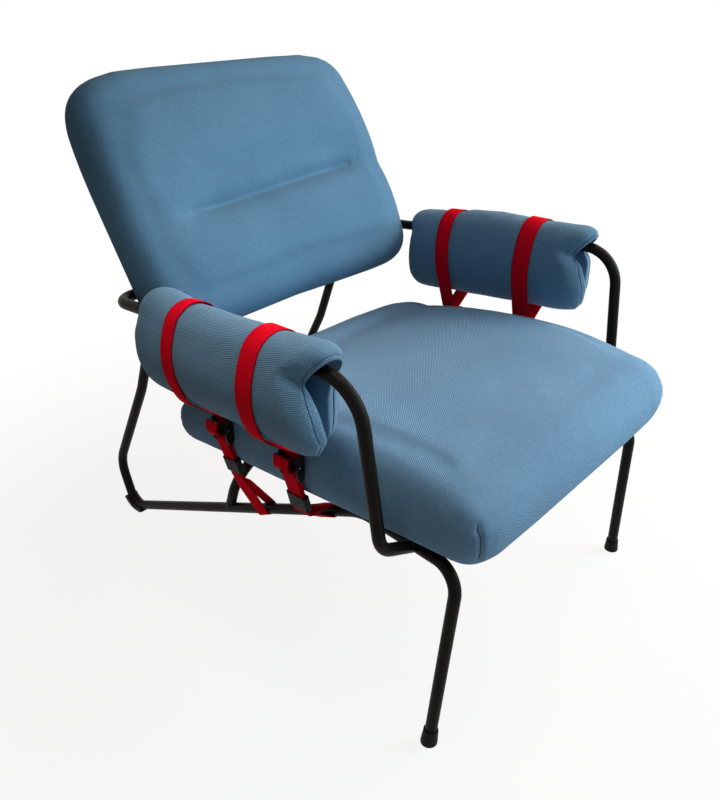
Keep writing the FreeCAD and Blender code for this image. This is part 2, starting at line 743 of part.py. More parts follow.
web = dim("web_thick")
gap = 1.4 + web / 2.0
ring_u = (nose + gap) * joint_dir[0]
ring_w = nose_w + (nose + gap) * joint_dir[1]
crown_w = ring_w + ring_u * joint_dir[0] / joint_dir[1]
side_u = ring_u + ring_w * joint_dir[1] / joint_dir[0]
slant = (joint_dir[1], -joint_dir[0])

# Places in the buckle, measured from the level of its pin in the middle of its section
BUCKLE = (21.0, -131.0)


def in_buckle(u, w):
    return (BUCKLE[0] + u, BUCKLE[1] + w)


BUCKLE_INSIDE = " + Dims.buckle_play"
BUCKLE_OUTSIDE = BUCKLE_INSIDE + " + 2 * Dims.cheek_thick"
PLATE_U = 5.0
PLATE_THICK = 2.0
CHANNEL_U = 3.7
BUCKLE_TOP = 18.0
PIN = in_buckle(-2.6, 0)
BAR = in_buckle(0, -19)
KEEP_END = (38.0, -224.0)


def strap_loop(name, width):
    """Loop over the roll: one end sewn behind the buckle, the other through the cam and out as a tail."""
    behind = PLATE_U + PLATE_THICK + 0.4 + web / 2.0
    inner = in_buckle(behind, BUCKLE_TOP - 1)
    outer = in_buckle(CHANNEL_U, BUCKLE_TOP - 1)
    inner_leave = touch(inner, (-flank_u, 0), flank + gap, -1)
    outer_leave = touch(outer, (0, -nose_w), nose + gap, 1)
    path = [
        in_buckle(behind, -13),
        inner,
        meet(inner, inner_leave, (ring_u, ring_w), slant),
        (0, crown_w),
        (-side_u, 0),
        meet(outer, outer_leave, (-ring_u, -ring_w), slant),
        outer,
        in_buckle(CHANNEL_U, -7.4),
        in_buckle(-28, -7.4),
        in_buckle(-28, 23),
        in_buckle(-12, 23),
    ]
    radii = [12, flank + gap, nose + gap, flank + gap, nose + gap, 10, 3.5, 11, 8]
    body = new_body(name)
    sketch = new_sketch(body, name + "_edge", "XZ_Plane")
    sketch.addGeometry(band(path, radii, web), False)
    pad(body, sketch, name + "_pad", "Dims." + width)
    return body


def anchor_loop(name, width, rail_at):
    """Closed loop from the buckle bar through the keeper and round the rail."""
    run = unit((KEEP_END[0] - BAR[0], KEEP_END[1] - BAR[1]))
    across = (-run[1], run[0])
    turn = unit((rail_at[0] - KEEP_END[0], rail_at[1] - KEEP_END[1]))
    beside = (-turn[1], turn[0])
    top = 2.0 + 0.4 + web / 2.0
    neck = 1.35
    # The rail slopes through the width of the webbing, so the loop clears its highest and lowest points
    slope = math.atan2(knee.z - heel.z, heel.y - knee.y)
    wrap = tube_r / math.cos(slope) + dim(width) / 2.0 * math.tan(slope) + 0.4 + web / 2.0
    low = (KEEP_END[0] - across[0] * neck, KEEP_END[1] - across[1] * neck)
    high = (KEEP_END[0] + across[0] * neck, KEEP_END[1] + across[1] * neck)
    near = (BAR[0] - run[0] * top, BAR[1] - run[1] * top)
    far = (rail_at[0] + turn[0] * wrap, rail_at[1] + turn[1] * wrap)
    path = [
        meet(low, touch(low, BAR, top, 1), near, across),
        low,
        meet(low, touch(low, rail_at, wrap, -1), far, beside),
        meet(high, touch(high, rail_at, wrap, 1), far, beside),
        high,
        meet(high, touch(high, BAR, top, -1), near, across),
    ]
    body = new_body(name)
    sketch = new_sketch(body, name + "_edge", "XZ_Plane")
    sketch.addGeometry(band(path, [top, 14, wrap, wrap, 14, top], web, closed=True), False)
    pad(body, sketch, name + "_pad", "Dims." + width)
    return body


def buckle_body(name, width):
    """Folded channel: back plate, two cheeks with the pin hole, and a bar for the lower webbing."""
    body = new_body(name)
    cheek = new_sketch(body, name + "_cheek", "XZ_Plane")
    back = PLATE_U + PLATE_THICK
    cheek.addGeometry([
        line(in_buckle(back, BUCKLE_TOP), in_buckle(back, -16)),
        line(in_buckle(back, -16), in_buckle(3, -24)),
        line(in_buckle(3, -24), in_buckle(-3, -24)),
        arc(in_buckle(-3, -24), in_buckle(-6.8, -16), in_buckle(-8, -6)),
        line(in_buckle(-8, -6), in_buckle(-8, 5)),
        arc(in_buckle(-8, 5), in_buckle(-5, 14), in_buckle(2, BUCKLE_TOP)),
        line(in_buckle(2, BUCKLE_TOP), in_buckle(back, BUCKLE_TOP)),
    ], False)
    pad(body, cheek, name + "_block", "Dims." + width + BUCKLE_OUTSIDE)
    inside = new_sketch(body, name + "_inside", "XZ_Plane")
    hollow = [(PLATE_U, 26), (-20, 26), (-20, -34), (12, -34), (12, -16), (PLATE_U, -16)]
    inside.addGeometry(polygon([in_buckle(u, w) for u, w in hollow]), False)
    pocket(body, inside, name + "_channel", "Dims." + width + BUCKLE_INSIDE)
    bar = new_sketch(body, name + "_bar", "XZ_Plane")
    bar.addGeometry(circle(BAR, 2.0), False)
    pad(body, bar, name + "_bar_pad", "Dims." + width + BUCKLE_INSIDE + " + 2")
    hole = new_sketch(body, name + "_pin_hole", "XZ_Plane")
    hole.addGeometry(circle(PIN, dim("pin_dia") / 2.0), False)
    pocket(body, hole, name + "_pin_cut", "Dims." + width + BUCKLE_OUTSIDE + " + 4")
    return body


def cam_lever(name, width):
    """Cam round the pin with a thumb tab rising outwards, bored to run on the pin."""
    body = new_body(name)
    slope = math.radians(32)
    nose_r = 4.6
    wing = math.sqrt(nose_r ** 2 - 2.4 ** 2)
    out = (-math.sin(slope), math.cos(slope))
    side = (out[1], -out[0])

    def at(along, off):
        return (PIN[0] + out[0] * along + side[0] * off, PIN[1] + out[1] * along + side[1] * off)

    sketch = new_sketch(body, name + "_side", "XZ_Plane")
    sketch.addGeometry([
        arc(at(2.4, -wing), at(-nose_r, 0), at(2.4, wing)),
        line(at(2.4, wing), at(9, 1.6)),
        line(at(9, 1.6), at(16.6, 1.6)),
        arc(at(16.6, 1.6), at(18.4, -0.4), at(16.6, -2.4)),
        line(at(16.6, -2.4), at(9, -2.2)),
        line(at(9, -2.2), at(2.4, -wing)),
    ], False)
    pad(body, sketch, name + "_pad", "Dims." + width)
    hole = new_sketch(body, name + "_bore", "XZ_Plane")
    hole.addGeometry(circle(PIN, dim("pin_dia") / 2.0 + dim("pin_play")), False)
    pocket(body, hole, name + "_bore_cut", "Dims." + width + " + 4")
    return body


def cam_pin(name, width):
    body = new_body(name)
    sketch = new_sketch(body, name + "_end", "XZ_Plane")
    sketch.addGeometry(circle(PIN, dim("pin_dia") / 2.0), False)
    pad(body, sketch, name + "_pad", "Dims." + width + BUCKLE_OUTSIDE + " + 1")
    return body


def keeper(name, width):
    """Flat sleeve round both layers of the lower webbing."""
    body = new_body(name)
    run = unit((KEEP_END[0] - BAR[0], KEEP_END[1] - BAR[1]))
    size = math.hypot(KEEP_END[0] - BAR[0], KEEP_END[1] - BAR[1])
    middle = (BAR[0] + run[0] * size * 0.68, BAR[1] + run[1] * size * 0.68)
    sketch = new_sketch(body, name + "_section", "XY_Plane")
    inner = dim(width) / 2.0 + 0.5
    wide = dim(width) / 2.0 + dim("keeper_wall")
    sketch.addGeometry(rounded_box(-5.4, 5.4, -wide, wide, 2.6), False)
    sketch.addGeometry(rounded_box(-4.0, 4.0, -inner, inner, 1.2), False)
    pad(body, sketch, name + "_pad", "Dims.keeper_long")
    return body, middle, run


def placed(body, spot, inner=None):
    body.Placement = spot.multiply(inner) if inner else spot
    return body


pins = []
for side, sign in (("left", -1), ("right", 1)):
    for where in ("front", "rear"):
        tag = "%s_%s" % (side, where)
        depth = dim("strap_%s_y" % where)
        tilt = dim("strap_%s_tilt" % where)
        width = "web_%s_wide" % where
        middle_z = dim("roll_z") + roll_lift(depth)
        face = Rotation(Vector(0, 0, 1), 0 if sign < 0 else 180)
        turn = Rotation(Vector(1, 0, 0), -tilt).multiply(face)
        middle_x = arm_point(depth).x
        spot = Placement(Vector(sign * middle_x, depth, middle_z), turn)
        # The strap meets the rail where its leaning plane crosses the rail
        lean_share = math.tan(math.radians(tilt))
        fall = (heel.z - knee.z) / (heel.y - knee.y)
        run_down = (middle_z - rail_point(depth).z) / (1 - fall * lean_share)
        crossing = rail_point(depth - run_down * lean_share)
        rail_at = (middle_x - crossing.x, -run_down / math.cos(math.radians(tilt)))
        node(placed(strap_loop("strap_" + tag, width), spot), "strap_loop_" + tag)
        node(placed(anchor_loop("anchor_" + tag, width, rail_at), spot), "strap_anchor_" + tag)
        node(placed(buckle_body("buckle_" + tag, width), spot), "buckle_body_" + tag)
        node(placed(cam_lever("lever_" + tag, width), spot), "buckle_lever_" + tag)
        pins.append(placed(cam_pin("pin_" + tag, width), spot))
        sleeve, middle, run = keeper("keeper_" + tag, width)
        aim = Rotation(Vector(0, 0, 1), Vector(run[0], 0, run[1]))
        aimed = Placement(Vector(middle[0], 0, middle[1]), aim)
        node(placed(sleeve, spot, aimed), "strap_keeper_" + tag)
compound("buckle_pins", pins)

doc.recompute()

for obj in doc.Objects:
    if "Invalid" in obj.State or "Error" in obj.State:
        raise RuntimeError("%s did not build: %s" % (obj.Name, obj.State))
for obj in nodes:
    if obj.Shape.isNull() or not obj.Shape.isValid():
        raise RuntimeError("%s has no valid shape" % obj.Label)
    obj.Shape.exportStep("parts/%s.step" % obj.Label)
    box = obj.Shape.BoundBox
    size = (len(obj.Shape.Solids), obj.Shape.Volume / 1000.0, box.YMin, box.YMax, box.ZMin, box.ZMax)
    print("%-26s solids %d  volume %8.1f cm3  y %7.1f %7.1f  z %6.1f %6.1f" % ((obj.Label,) + size))
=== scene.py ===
"""Looks of the lounge chair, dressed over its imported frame.

Metres, Z up, the front of the chair faces -Y, and X = 0 is the middle plane.
"""
import json
import math

import bmesh
import bpy
import numpy as np
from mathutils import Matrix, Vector
from mathutils.bvhtree import BVHTree
from mathutils.kdtree import KDTree


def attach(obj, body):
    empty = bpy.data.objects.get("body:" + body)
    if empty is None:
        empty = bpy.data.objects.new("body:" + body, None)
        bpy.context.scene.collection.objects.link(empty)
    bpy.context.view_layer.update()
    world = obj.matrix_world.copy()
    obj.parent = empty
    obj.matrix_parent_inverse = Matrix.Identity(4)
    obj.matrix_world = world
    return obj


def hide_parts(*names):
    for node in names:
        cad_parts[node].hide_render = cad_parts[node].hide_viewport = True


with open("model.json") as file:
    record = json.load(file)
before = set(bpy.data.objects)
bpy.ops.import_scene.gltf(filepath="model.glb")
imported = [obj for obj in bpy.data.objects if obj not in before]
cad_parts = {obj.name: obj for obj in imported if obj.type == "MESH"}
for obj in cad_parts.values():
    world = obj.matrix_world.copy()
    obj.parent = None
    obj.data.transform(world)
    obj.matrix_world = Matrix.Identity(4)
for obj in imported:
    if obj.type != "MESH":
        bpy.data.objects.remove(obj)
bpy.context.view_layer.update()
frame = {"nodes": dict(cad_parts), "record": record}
nodes = frame["nodes"]
SIDES = {"left": -1, "right": 1}
ENDS = ("front", "rear")


# Small helpers for meshes


def adopt(name, mesh, material, body="chair"):
    """A smooth object at the origin, riding on a body."""
    mesh.name = name
    piece = bpy.data.objects.new(name, mesh)
    bpy.context.scene.collection.objects.link(piece)
    mesh.materials.clear()
    mesh.materials.append(material)
    mesh.shade_smooth()
    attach(piece, body)
    return piece


def drawn(name, verts, faces):
    """A mesh from points and faces, with its faces turned outwards."""
    mesh = bpy.data.meshes.new(name)
    mesh.from_pydata([tuple(v) for v in verts], [], [tuple(f) for f in faces])
    build = bmesh.new()
    build.from_mesh(mesh)
    bmesh.ops.recalc_face_normals(build, faces=build.faces)
    build.to_mesh(mesh)
    build.free()
    mesh.update()
    return mesh


def get_points(mesh):
    flat = np.empty(len(mesh.vertices) * 3, np.float32)
    mesh.vertices.foreach_get("co", flat)
    return flat.reshape(-1, 3).astype(float)


def set_points(mesh, points):
    mesh.vertices.foreach_set("co", np.ascontiguousarray(points, np.float32).ravel())
    mesh.update()


def get_normals(mesh):
    flat = np.empty(len(mesh.vertices) * 3, np.float32)
    mesh.vertex_normals.foreach_get("vector", flat)
    return flat.reshape(-1, 3).astype(float)


def with_modifiers(mesh, *kinds):
    """The mesh that a scratch object gives once modifiers of the given kinds and settings are applied."""
    scratch = bpy.data.objects.new("scratch", mesh)
    bpy.context.scene.collection.objects.link(scratch)
    for kind, settings in kinds:
        modifier = scratch.modifiers.new(kind.lower(), kind)
        for key, value in settings.items():
            setattr(modifier, key, value)
    result = baked(scratch)
    bpy.data.objects.remove(scratch)
    return result


def baked(piece):
    """A plain mesh of what an object's modifiers give."""
    depsgraph = bpy.context.evaluated_depsgraph_get()
    return bpy.data.meshes.new_from_object(piece.evaluated_get(depsgraph))


def finer(mesh):
    return with_modifiers(mesh, ("SUBSURF", {"levels": 1, "render_levels": 1}))


def ease(value, low, high):
    """0 below low, 1 above high, smooth between."""
    share = np.clip((value - low) / (high - low), 0, 1)
    return share * share * (3 - 2 * share)


def window(value, rise, fall):
    """1 between two slopes, each given by where it starts and ends, and 0 beyond them."""
    return ease(value, *rise) * (1 - ease(value, *fall))


def hill(value, middle, width):
    return np.exp(-(((value - middle) / width) ** 2))


EVEN_STEP = 0.5
BACK_STEP = -0.52


def relaxed(mesh, points, rounds, share=1.0, full=True):
    """Evens points out. Each step is followed by one back, so that a full form keeps its volume."""
    flat = np.empty(len(mesh.edges) * 2, np.int32)
    mesh.edges.foreach_get("vertices", flat)
    a, b = flat.reshape(-1, 2).T
    count = np.maximum(np.bincount(flat, minlength=len(points)), 1)
    for step in ((EVEN_STEP, BACK_STEP) if full else (EVEN_STEP,)) * rounds:
        mean = np.column_stack([
            (np.bincount(a, points[b, k], len(points)) + np.bincount(b, points[a, k], len(points))) / count
            for k in range(3)])
        points = points + (mean - points) * step * np.reshape(share, (-1, 1))
    return points


def surface_of(mesh):
    build = bmesh.new()
    build.from_mesh(mesh)
    tree = BVHTree.FromBMesh(build)
    build.free()
    return tree


def kept_near(points, surface, low, high):
    """Points brought to between low and, softly, high of a surface, counted outwards."""
    found = [surface.find_nearest(Vector(p)) for p in points]
    foot = np.array([f[0] for f in found])
    way = np.array([f[1] for f in found])
    off = points - foot
    far = np.linalg.norm(off, axis=1)
    sign = np.where((off * way).sum(1) < 0, -1.0, 1.0)
    clear = far > 1e-6
    way[clear] = (off[clear] / far[clear, None]) * sign[clear, None]
    return foot + way * np.maximum(low, high * np.tanh(far * sign / high))[:, None]


def laid_on(path, mesh, lift=0.0):
    """A path pulled onto a mesh, and lifted off it a little."""
    surface = surface_of(mesh)
    found = [surface.find_nearest(Vector(p)) for p in path]
    return np.array([f[0] + f[1] * lift for f in found])


def calmed(path, rounds=8):
    """A path with its small turns smoothed away and its ends kept."""
    for _ in range(rounds):
        path[1:-1] = (path[:-2] + 2 * path[1:-1] + path[2:]) / 4
    return path


PATH_STEP = 0.0008
PULL_REACH = 4


def pulled_in(mesh, path, depth, width):
    """Sinks a mesh along a path, as thread or a tuck draws cloth in."""
    line = even(np.asarray(path), PATH_STEP)
    tree = KDTree(len(line))
    for i, p in enumerate(line):
        tree.insert(p, i)
    tree.balance()
    points = get_points(mesh)
    reach = PULL_REACH * width
    near = np.all((points > line.min(0) - reach) & (points < line.max(0) + reach), axis=1)
    picked = np.nonzero(near)[0]
    far = np.array([tree.find(points[i])[2] for i in picked])
    points[picked] -= get_normals(mesh)[picked] * (depth * hill(far, 0, width))[:, None]
    set_points(mesh, points)


def even(line, step):
    """The same line with points a steady step apart."""
    gaps = np.linalg.norm(np.diff(line, axis=0), axis=1)
    run = np.concatenate([[0], np.cumsum(gaps)])
    marks = np.linspace(0, run[-1], max(2, int(run[-1] / step) + 1))
    return np.column_stack([np.interp(marks, run, line[:, k]) for k in range(line.shape[1])])


# Finishes


def new_finish(name):
    material = bpy.data.materials.new(name)
    material.use_nodes = True
    return material, material.node_tree, material.node_tree.nodes["Principled BSDF"]


def set_sockets(node, sockets):
    """Gives a node's sockets plain values, or links from other nodes."""
    for key, value in sockets.items():
        if isinstance(value, bpy.types.NodeSocket):
            node.id_data.links.new(value, node.inputs[key])
        else:
            node.inputs[key].default_value = value


def new_node(tree, kind, sockets=None, **settings):
    """The outputs of a new node."""
    node = tree.nodes.new(kind)
    for key, value in settings.items():
        setattr(node, key, value)
    set_sockets(node, sockets or {})
    return node.outputs


def add(tree, kind, sockets=None, **settings):
    return new_node(tree, "ShaderNode" + kind, sockets, **settings)


def over_object(tree, kind, sockets=None, **settings):
    """The outputs of a new node that reads the object's own coordinates."""
    place = add(tree, "TexCoord")["Object"]
    return add(tree, kind, {"Vector": place, **(sockets or {})}, **settings)


def ramp(tree, value, stops):
    """The colours that a value gives, from stops of position and colour."""
    node = tree.nodes.new("ShaderNodeValToRGB")
    elements = node.color_ramp.elements
    while len(elements) < len(stops):
        elements.new(0.5)
    for element, (position, colour) in zip(elements, stops):
        element.position = position
        element.color = (*colour, 1)
    set_sockets(node, {"Fac": value})
    return node.outputs["Color"]


def bumped(tree, height, distance, strength, below=None):
    sockets = {"Height": height, "Distance": distance, "Strength": strength}
    if below:
        sockets["Normal"] = below
    return add(tree, "Bump", sockets)["Normal"]


def multiplied(tree, one, two):
    return add(tree, "Mix", {0: 1.0, 6: one, 7: two}, data_type="RGBA", blend_type="MULTIPLY")[2]


CLOTH_LIGHT = (0.170, 0.325, 0.480)
CLOTH_MIDDLE = (0.140, 0.280, 0.425)
CLOTH_DEEP = (0.088, 0.190, 0.300)
RIB_STOPS = (0.22, 0.45, 0.80)
RUBBED = [(0.32, (0.87, 0.87, 0.89)), (0.68, (1.0, 1.0, 1.0))]
CRINKLE_SHARE = 0.45
DIAGONAL_WAVE = math.tau / 10
CUT_GRID = "cut_grid"


def blue_cloth(name, lay, rib, grid="object", tone=1.0, sway=3.0, depth=0.0010, sheen=0.12):
    """Crinkled upholstery cloth: fine wavy ribs over a plain weave, rubbed paler in patches. The ribs'
    colour goes from deep in their hollows to light on their tops: the yarn's own tone, with painted shade in
    the hollows.

    The ribs follow the object's own grid, that grid mirrored about the middle, or the pad as it was cut. The
    tone scales every shade of a piece: above 1 it is painted light, below 1 painted shade.
    """
    material, tree, shader = new_finish(name)
    if grid == "cut":
        laid_by = add(tree, "Attribute", attribute_name=CUT_GRID)["Vector"]
    elif grid == "mirrored":
        laid_by = over_object(tree, "VectorMath", operation="ABSOLUTE")["Vector"]
    else:
        laid_by = add(tree, "TexCoord")["Object"]
    laid = add(tree, "Mapping", {"Vector": laid_by, "Scale": lay})["Vector"]
    ribs = add(tree, "TexWave", {"Vector": laid, "Scale": DIAGONAL_WAVE / rib, "Distortion": sway,
                                 "Detail": 2.0, "Detail Scale": 0.35, "Detail Roughness": 0.55},
               bands_direction="DIAGONAL")["Fac"]
    crinkle = over_object(tree, "TexNoise", {"Scale": 260.0, "Detail": 2.0, "Distortion": 0.4})["Fac"]
    both = add(tree, "Mix", {0: CRINKLE_SHARE, 2: ribs, 3: crinkle}, data_type="FLOAT")[0]
    weave = over_object(tree, "TexVoronoi", {"Scale": 800.0, "Randomness": 0.4})["Distance"]
    fade = over_object(tree, "TexNoise", {"Scale": 7.0, "Detail": 3.0})["Fac"]
    # tone scales the whole piece's colour: above 1 as painted light, below 1 as painted shade
    shades = [tuple(np.multiply(tone, shade)) for shade in (CLOTH_DEEP, CLOTH_MIDDLE, CLOTH_LIGHT)]
    # Deep where ribs and crinkle run low: the yarn's tone, plus painted shade in the rib hollows
    rib_tone_and_shade = ramp(tree, both, list(zip(RIB_STOPS, shades)))
    fine = bumped(tree, weave, distance=0.0003, strength=0.5)
    set_sockets(shader, {
        "Base Color": multiplied(tree, rib_tone_and_shade, ramp(tree, fade, RUBBED)),
        "Normal": bumped(tree, both, depth, strength=0.7, below=fine),
        "Roughness": 0.9, "Specular IOR Level": 0.04,
        "Sheen Weight": sheen, "Sheen Roughness": 0.5, "Sheen Tint": (0.75, 0.82, 0.9, 1)})
    return material


WEB_NOMINAL = 0.030
WEB_YARN = [(0.0, (0.72, 0.003, 0.014)), (0.6, (0.88, 0.004, 0.024)), (1.0, (0.94, 0.006, 0.036))]
# Painted shade: the colour falls off at both edges of the webbing, for the shadow line along them
WEB_EDGE_SHADE = [(0.90, (1, 1, 1)), (0.98, (0.45, 0.3, 0.3))]


def red_webbing():
    """Tight ribbed webbing, painted darker at both edges as painted shade along them. UV is in metres: U
    across a nominal width, V along.
    """
    material, tree, shader = new_finish("red_webbing")
    place = add(tree, "UVMap", uv_map="along")["UV"]

    def wave(scale, distortion, direction):
        sockets = {"Vector": place, "Scale": scale, "Distortion": distortion, "Detail": 1.0}
        return add(tree, "TexWave", sockets, bands_direction=direction)["Fac"]

    ribs = {0: wave(110.0, 0.6, "Y"), 1: wave(130.0, 0.4, "X")}
    both = add(tree, "Math", ribs, operation="MULTIPLY")["Value"]
    across = add(tree, "SeparateXYZ", {"Vector": place})["X"]
    from_middle = add(tree, "Math", {0: across}, operation="ABSOLUTE")["Value"]
    edge = add(tree, "Math", {0: from_middle, 1: 2 / WEB_NOMINAL}, operation="MULTIPLY")["Value"]
    set_sockets(shader, {
        "Base Color": multiplied(tree, ramp(tree, both, WEB_YARN), ramp(tree, edge, WEB_EDGE_SHADE)),
        "Normal": bumped(tree, both, distance=0.0003, strength=0.6),
        "Roughness": 0.7, "Specular IOR Level": 0.02})
    return material


# Warm patches: partly coat wear, partly painted reflection of warm light on the tube
COAT_WEAR_AND_GLINT_TONES = [(0.35, (0.0060, 0.0052, 0.0042)), (0.62, (0.0105, 0.0088, 0.0065)),
              (0.80, (0.020, 0.0155, 0.0105))]
COAT_GLOSS = [(0.30, (0.36, 0.36, 0.36)), (0.75, (0.5, 0.5, 0.5))]


def coated_tube():
    """Satin black powder coat: fine orange peel, and faint warm patches that are partly wear through to the
    metal and partly painted warm reflection.
    """
    material, tree, shader = new_finish("coated_tube")
    peel = over_object(tree, "TexNoise", {"Scale": 900.0, "Detail": 2.0})["Fac"]
    rub = over_object(tree, "TexNoise", {"Scale": 38.0, "Detail": 4.0, "Roughness": 0.6})["Fac"]
    set_sockets(shader, {
        "Base Color": ramp(tree, rub, COAT_WEAR_AND_GLINT_TONES), "Roughness": ramp(tree, rub, COAT_GLOSS),
        "Normal": bumped(tree, peel, distance=0.00006, strength=0.35), "Specular IOR Level": 0.06})
    return material


def moulded(name, shade, grain, rough):
    """Black moulded or pressed piece with a fine grain."""
    material, tree, shader = new_finish(name)
    skin = over_object(tree, "TexNoise", {"Scale": grain, "Detail": 3.0})["Fac"]
    handling = over_object(tree, "TexNoise", {"Scale": 60.0, "Detail": 3.0})["Fac"]
    tones = [(0.3, (0.7 * shade,) * 3), (0.7, (1.5 * shade,) * 3)]
    gloss = [(0.3, (rough - 0.06,) * 3), (0.7, (rough + 0.1,) * 3)]
    set_sockets(shader, {
        "Base Color": ramp(tree, handling, tones), "Roughness": ramp(tree, handling, gloss),
        "Normal": bumped(tree, skin, distance=0.0001, strength=0.5), "Specular IOR Level": 0.08})
    return material


def plywood():
    """Birch ply: pale grain along X, streaked finely across it."""
    material, tree, shader = new_finish("plywood_panel")
    stretch = over_object(tree, "Mapping", {"Scale": (6.0, 120.0, 120.0)})["Vector"]
    grain = add(tree, "TexNoise", {"Vector": stretch, "Scale": 1.0, "Detail": 4.0, "Distortion": 0.4})["Fac"]
    tones = [(0.3, (0.36, 0.22, 0.11)), (0.7, (0.58, 0.41, 0.24))]
    set_sockets(shader, {"Base Color": ramp(tree, grain, tones), "Roughness": 0.6,
                         "Normal": bumped(tree, grain, distance=0.0003, strength=0.4)})
    return material


def zinc_screw():
    """Zinc plate with a fine spangle."""
    material, tree, shader = new_finish("zinc_screw")
    spangle = over_object(tree, "TexVoronoi", {"Scale": 700.0})["Distance"]
    tones = [(0.0, (0.42, 0.42, 0.41)), (1.0, (0.60, 0.60, 0.58))]
    set_sockets(shader, {"Base Color": ramp(tree, spangle, tones), "Metallic": 1.0, "Roughness": 0.35,
                         "Normal": bumped(tree, spangle, distance=0.00005, strength=0.4)})
    return material


def sewing_thread(name, shade):
    """Twisted thread, darker between its strands."""
    material, tree, shader = new_finish(name)
    twist = over_object(tree, "TexWave", {"Scale": 900.0, "Distortion": 1.0}, bands_direction="DIAGONAL")
    tones = [(0.0, tuple(0.6 * c for c in shade)), (1.0, shade)]
    set_sockets(shader, {"Base Color": ramp(tree, twist["Fac"], tones), "Roughness": 0.7,
                         "Normal": bumped(tree, twist["Fac"], distance=0.0001, strength=0.5)})
    return material


# One cloth in three copies: the seat's is painted lighter (painted light) and the back's darker (painted
# shade) for how light falls on them; the roll's is close to its own colour
seat_cloth = blue_cloth("seat_cloth", lay=(0.669, -0.743, 1.3), rib=0.0026, tone=(1.25, 1.17, 1.16))
back_cloth = blue_cloth("back_cloth", lay=(-1, -0.85, 0.52), rib=0.0022, grid="mirrored",
                        tone=(0.83, 0.90, 0.93), depth=0.0006, sheen=0.05)
roll_cloth = blue_cloth("roll_cloth", lay=(1, 0.15, 0), rib=0.0024, grid="cut",
                        tone=1.05, sway=4.0, depth=0.0014, sheen=0.30)
webbing = red_webbing()
tube_coat = coated_tube()
buckle_black = moulded("buckle_black", shade=0.007, grain=1200.0, rough=0.40)
keeper_black = moulded("keeper_black", shade=0.006, grain=700.0, rough=0.5)
glide_black = moulded("glide_black", shade=0.007, grain=900.0, rough=0.55)
panel_ply = plywood()
screw_zinc = zinc_screw()
blue_thread = sewing_thread("blue_thread", (0.16, 0.32, 0.48))
# Dark thread for the cords laid in the seams: painted shadow standing for the shade down in each seam
seam_shadow_thread = sewing_thread("seam_shadow_thread", (0.022, 0.048, 0.085))


# Frame and fittings keep their solids and take finishes

FINISH_OF_SLOT = {
    "frame": tube_coat, "glides": glide_black, "plywood": panel_ply, "webbing": webbing,
    "buckles": buckle_black, "keepers": keeper_black, "screws": screw_zinc, "upholstery": seat_cloth,
}
slot_of = {row["node"]: row["material_slot"] for row in frame["record"]["subparts"]}
for label, solid in nodes.items():
    solid.data.materials.clear()
    solid.data.materials.append(FINISH_OF_SLOT[slot_of[label]])


# Cushions: cut from the solids, remeshed, swollen with Cloth, then sewn

CUSHION_VOXEL = 0.0068
SKIN_UNDER = -0.0015
SKIN_OVER = 0.004
COVER_INSET = 0.003
HOLD_LEVELS = 10


def cut_cover(node):
    """A closed, even skin a little inside a soft solid, and the solid's own surface."""
    mesh = nodes[node].data.copy()
    build = bmesh.new()
    build.from_mesh(mesh)
    bmesh.ops.remove_doubles(build, verts=build.verts, dist=1e-5)
    solid = BVHTree.FromBMesh(build)
    build.to_mesh(mesh)
    build.free()
    skin = with_modifiers(mesh, ("REMESH", {"mode": "VOXEL", "voxel_size": CUSHION_VOXEL}))
    points = relaxed(skin, get_points(skin), 10)
    set_points(skin, kept_near(points, solid, SKIN_UNDER, SKIN_OVER))
    set_points(skin, get_points(skin) - get_normals(skin) * COVER_INSET)
    return skin, solid


def swell(mesh, held, pressure=4.0, cap=0.010, frames=20):
    """Blows a closed cover up with Cloth. Points with held 1 stay, and none moves further than cap."""
    start = get_points(mesh)
    piece = bpy.data.objects.new("swelling", mesh)
    scene = bpy.context.scene
    scene.collection.objects.link(piece)
    group = piece.vertex_groups.new(name="held")
    steps = np.round(np.clip(held, 0, 1) * HOLD_LEVELS).astype(int)
    for step in range(1, HOLD_LEVELS + 1):
        chosen = np.nonzero(steps == step)[0]
        if len(chosen):
            group.add([int(i) for i in chosen], step / HOLD_LEVELS, "REPLACE")
    settings = piece.modifiers.new("swell", "CLOTH").settings
    settings.use_pressure = True
    settings.uniform_pressure_force = pressure
    settings.vertex_group_mass = "held"
    settings.effector_weights.gravity = 0
    settings.quality = 4
    for number in range(1, frames + 1):
        scene.frame_set(number)
    swollen = baked(piece)
    move = get_points(swollen) - start
    far = np.linalg.norm(move, axis=1, keepdims=True)
    move = relaxed(mesh, move * np.minimum(1, cap / np.maximum(far, 1e-9)), 20, full=False)
    scene.frame_set(1)
    bpy.data.objects.remove(piece)
    bpy.data.meshes.remove(swollen)
    set_points(mesh, start + move)


def fitted(mesh, solid):
    """A swollen cover drawn back to the size it was cut for, its weave evened out."""
    points = kept_near(get_points(mesh), solid, SKIN_UNDER, SKIN_OVER)
    set_points(mesh, relaxed(mesh, points, 30))


SEAT_SLOPE = math.radians(-3.853)
SEAT_FRONT = np.array((0, -0.450, 0.30925))
SEAT_LONG = 0.622
SEAT_HALF = 0.286
SEAT_LOOSE_UP = (0.030, 0.055)
# Shares by which the cover stands higher and wider than it was cut, and where along the seat
SEAT_CROWN = 0.16
SEAT_CROWN_ALONG = (-0.03, 0.20), (0.47, 0.66)
SEAT_BULGE = 0.025
SEAT_BULGE_ALONG = (0.02, 0.30), (0.38, 0.60)
SEAT_BULGE_UP = 0.06
SEAT_NOSE = 0.004
SEAT_NOSE_LONG = 0.06
# Each corner seam's place along the seat and the way to the seat's middle
SEAT_CORNERS = ((-0.022, 1), (SEAT_LONG + 0.016, -1))
SEAT_SEAM_UP = (0.012, 0.106)
SEAT_SEAM = {"depth": 0.0022, "width": 0.0040}
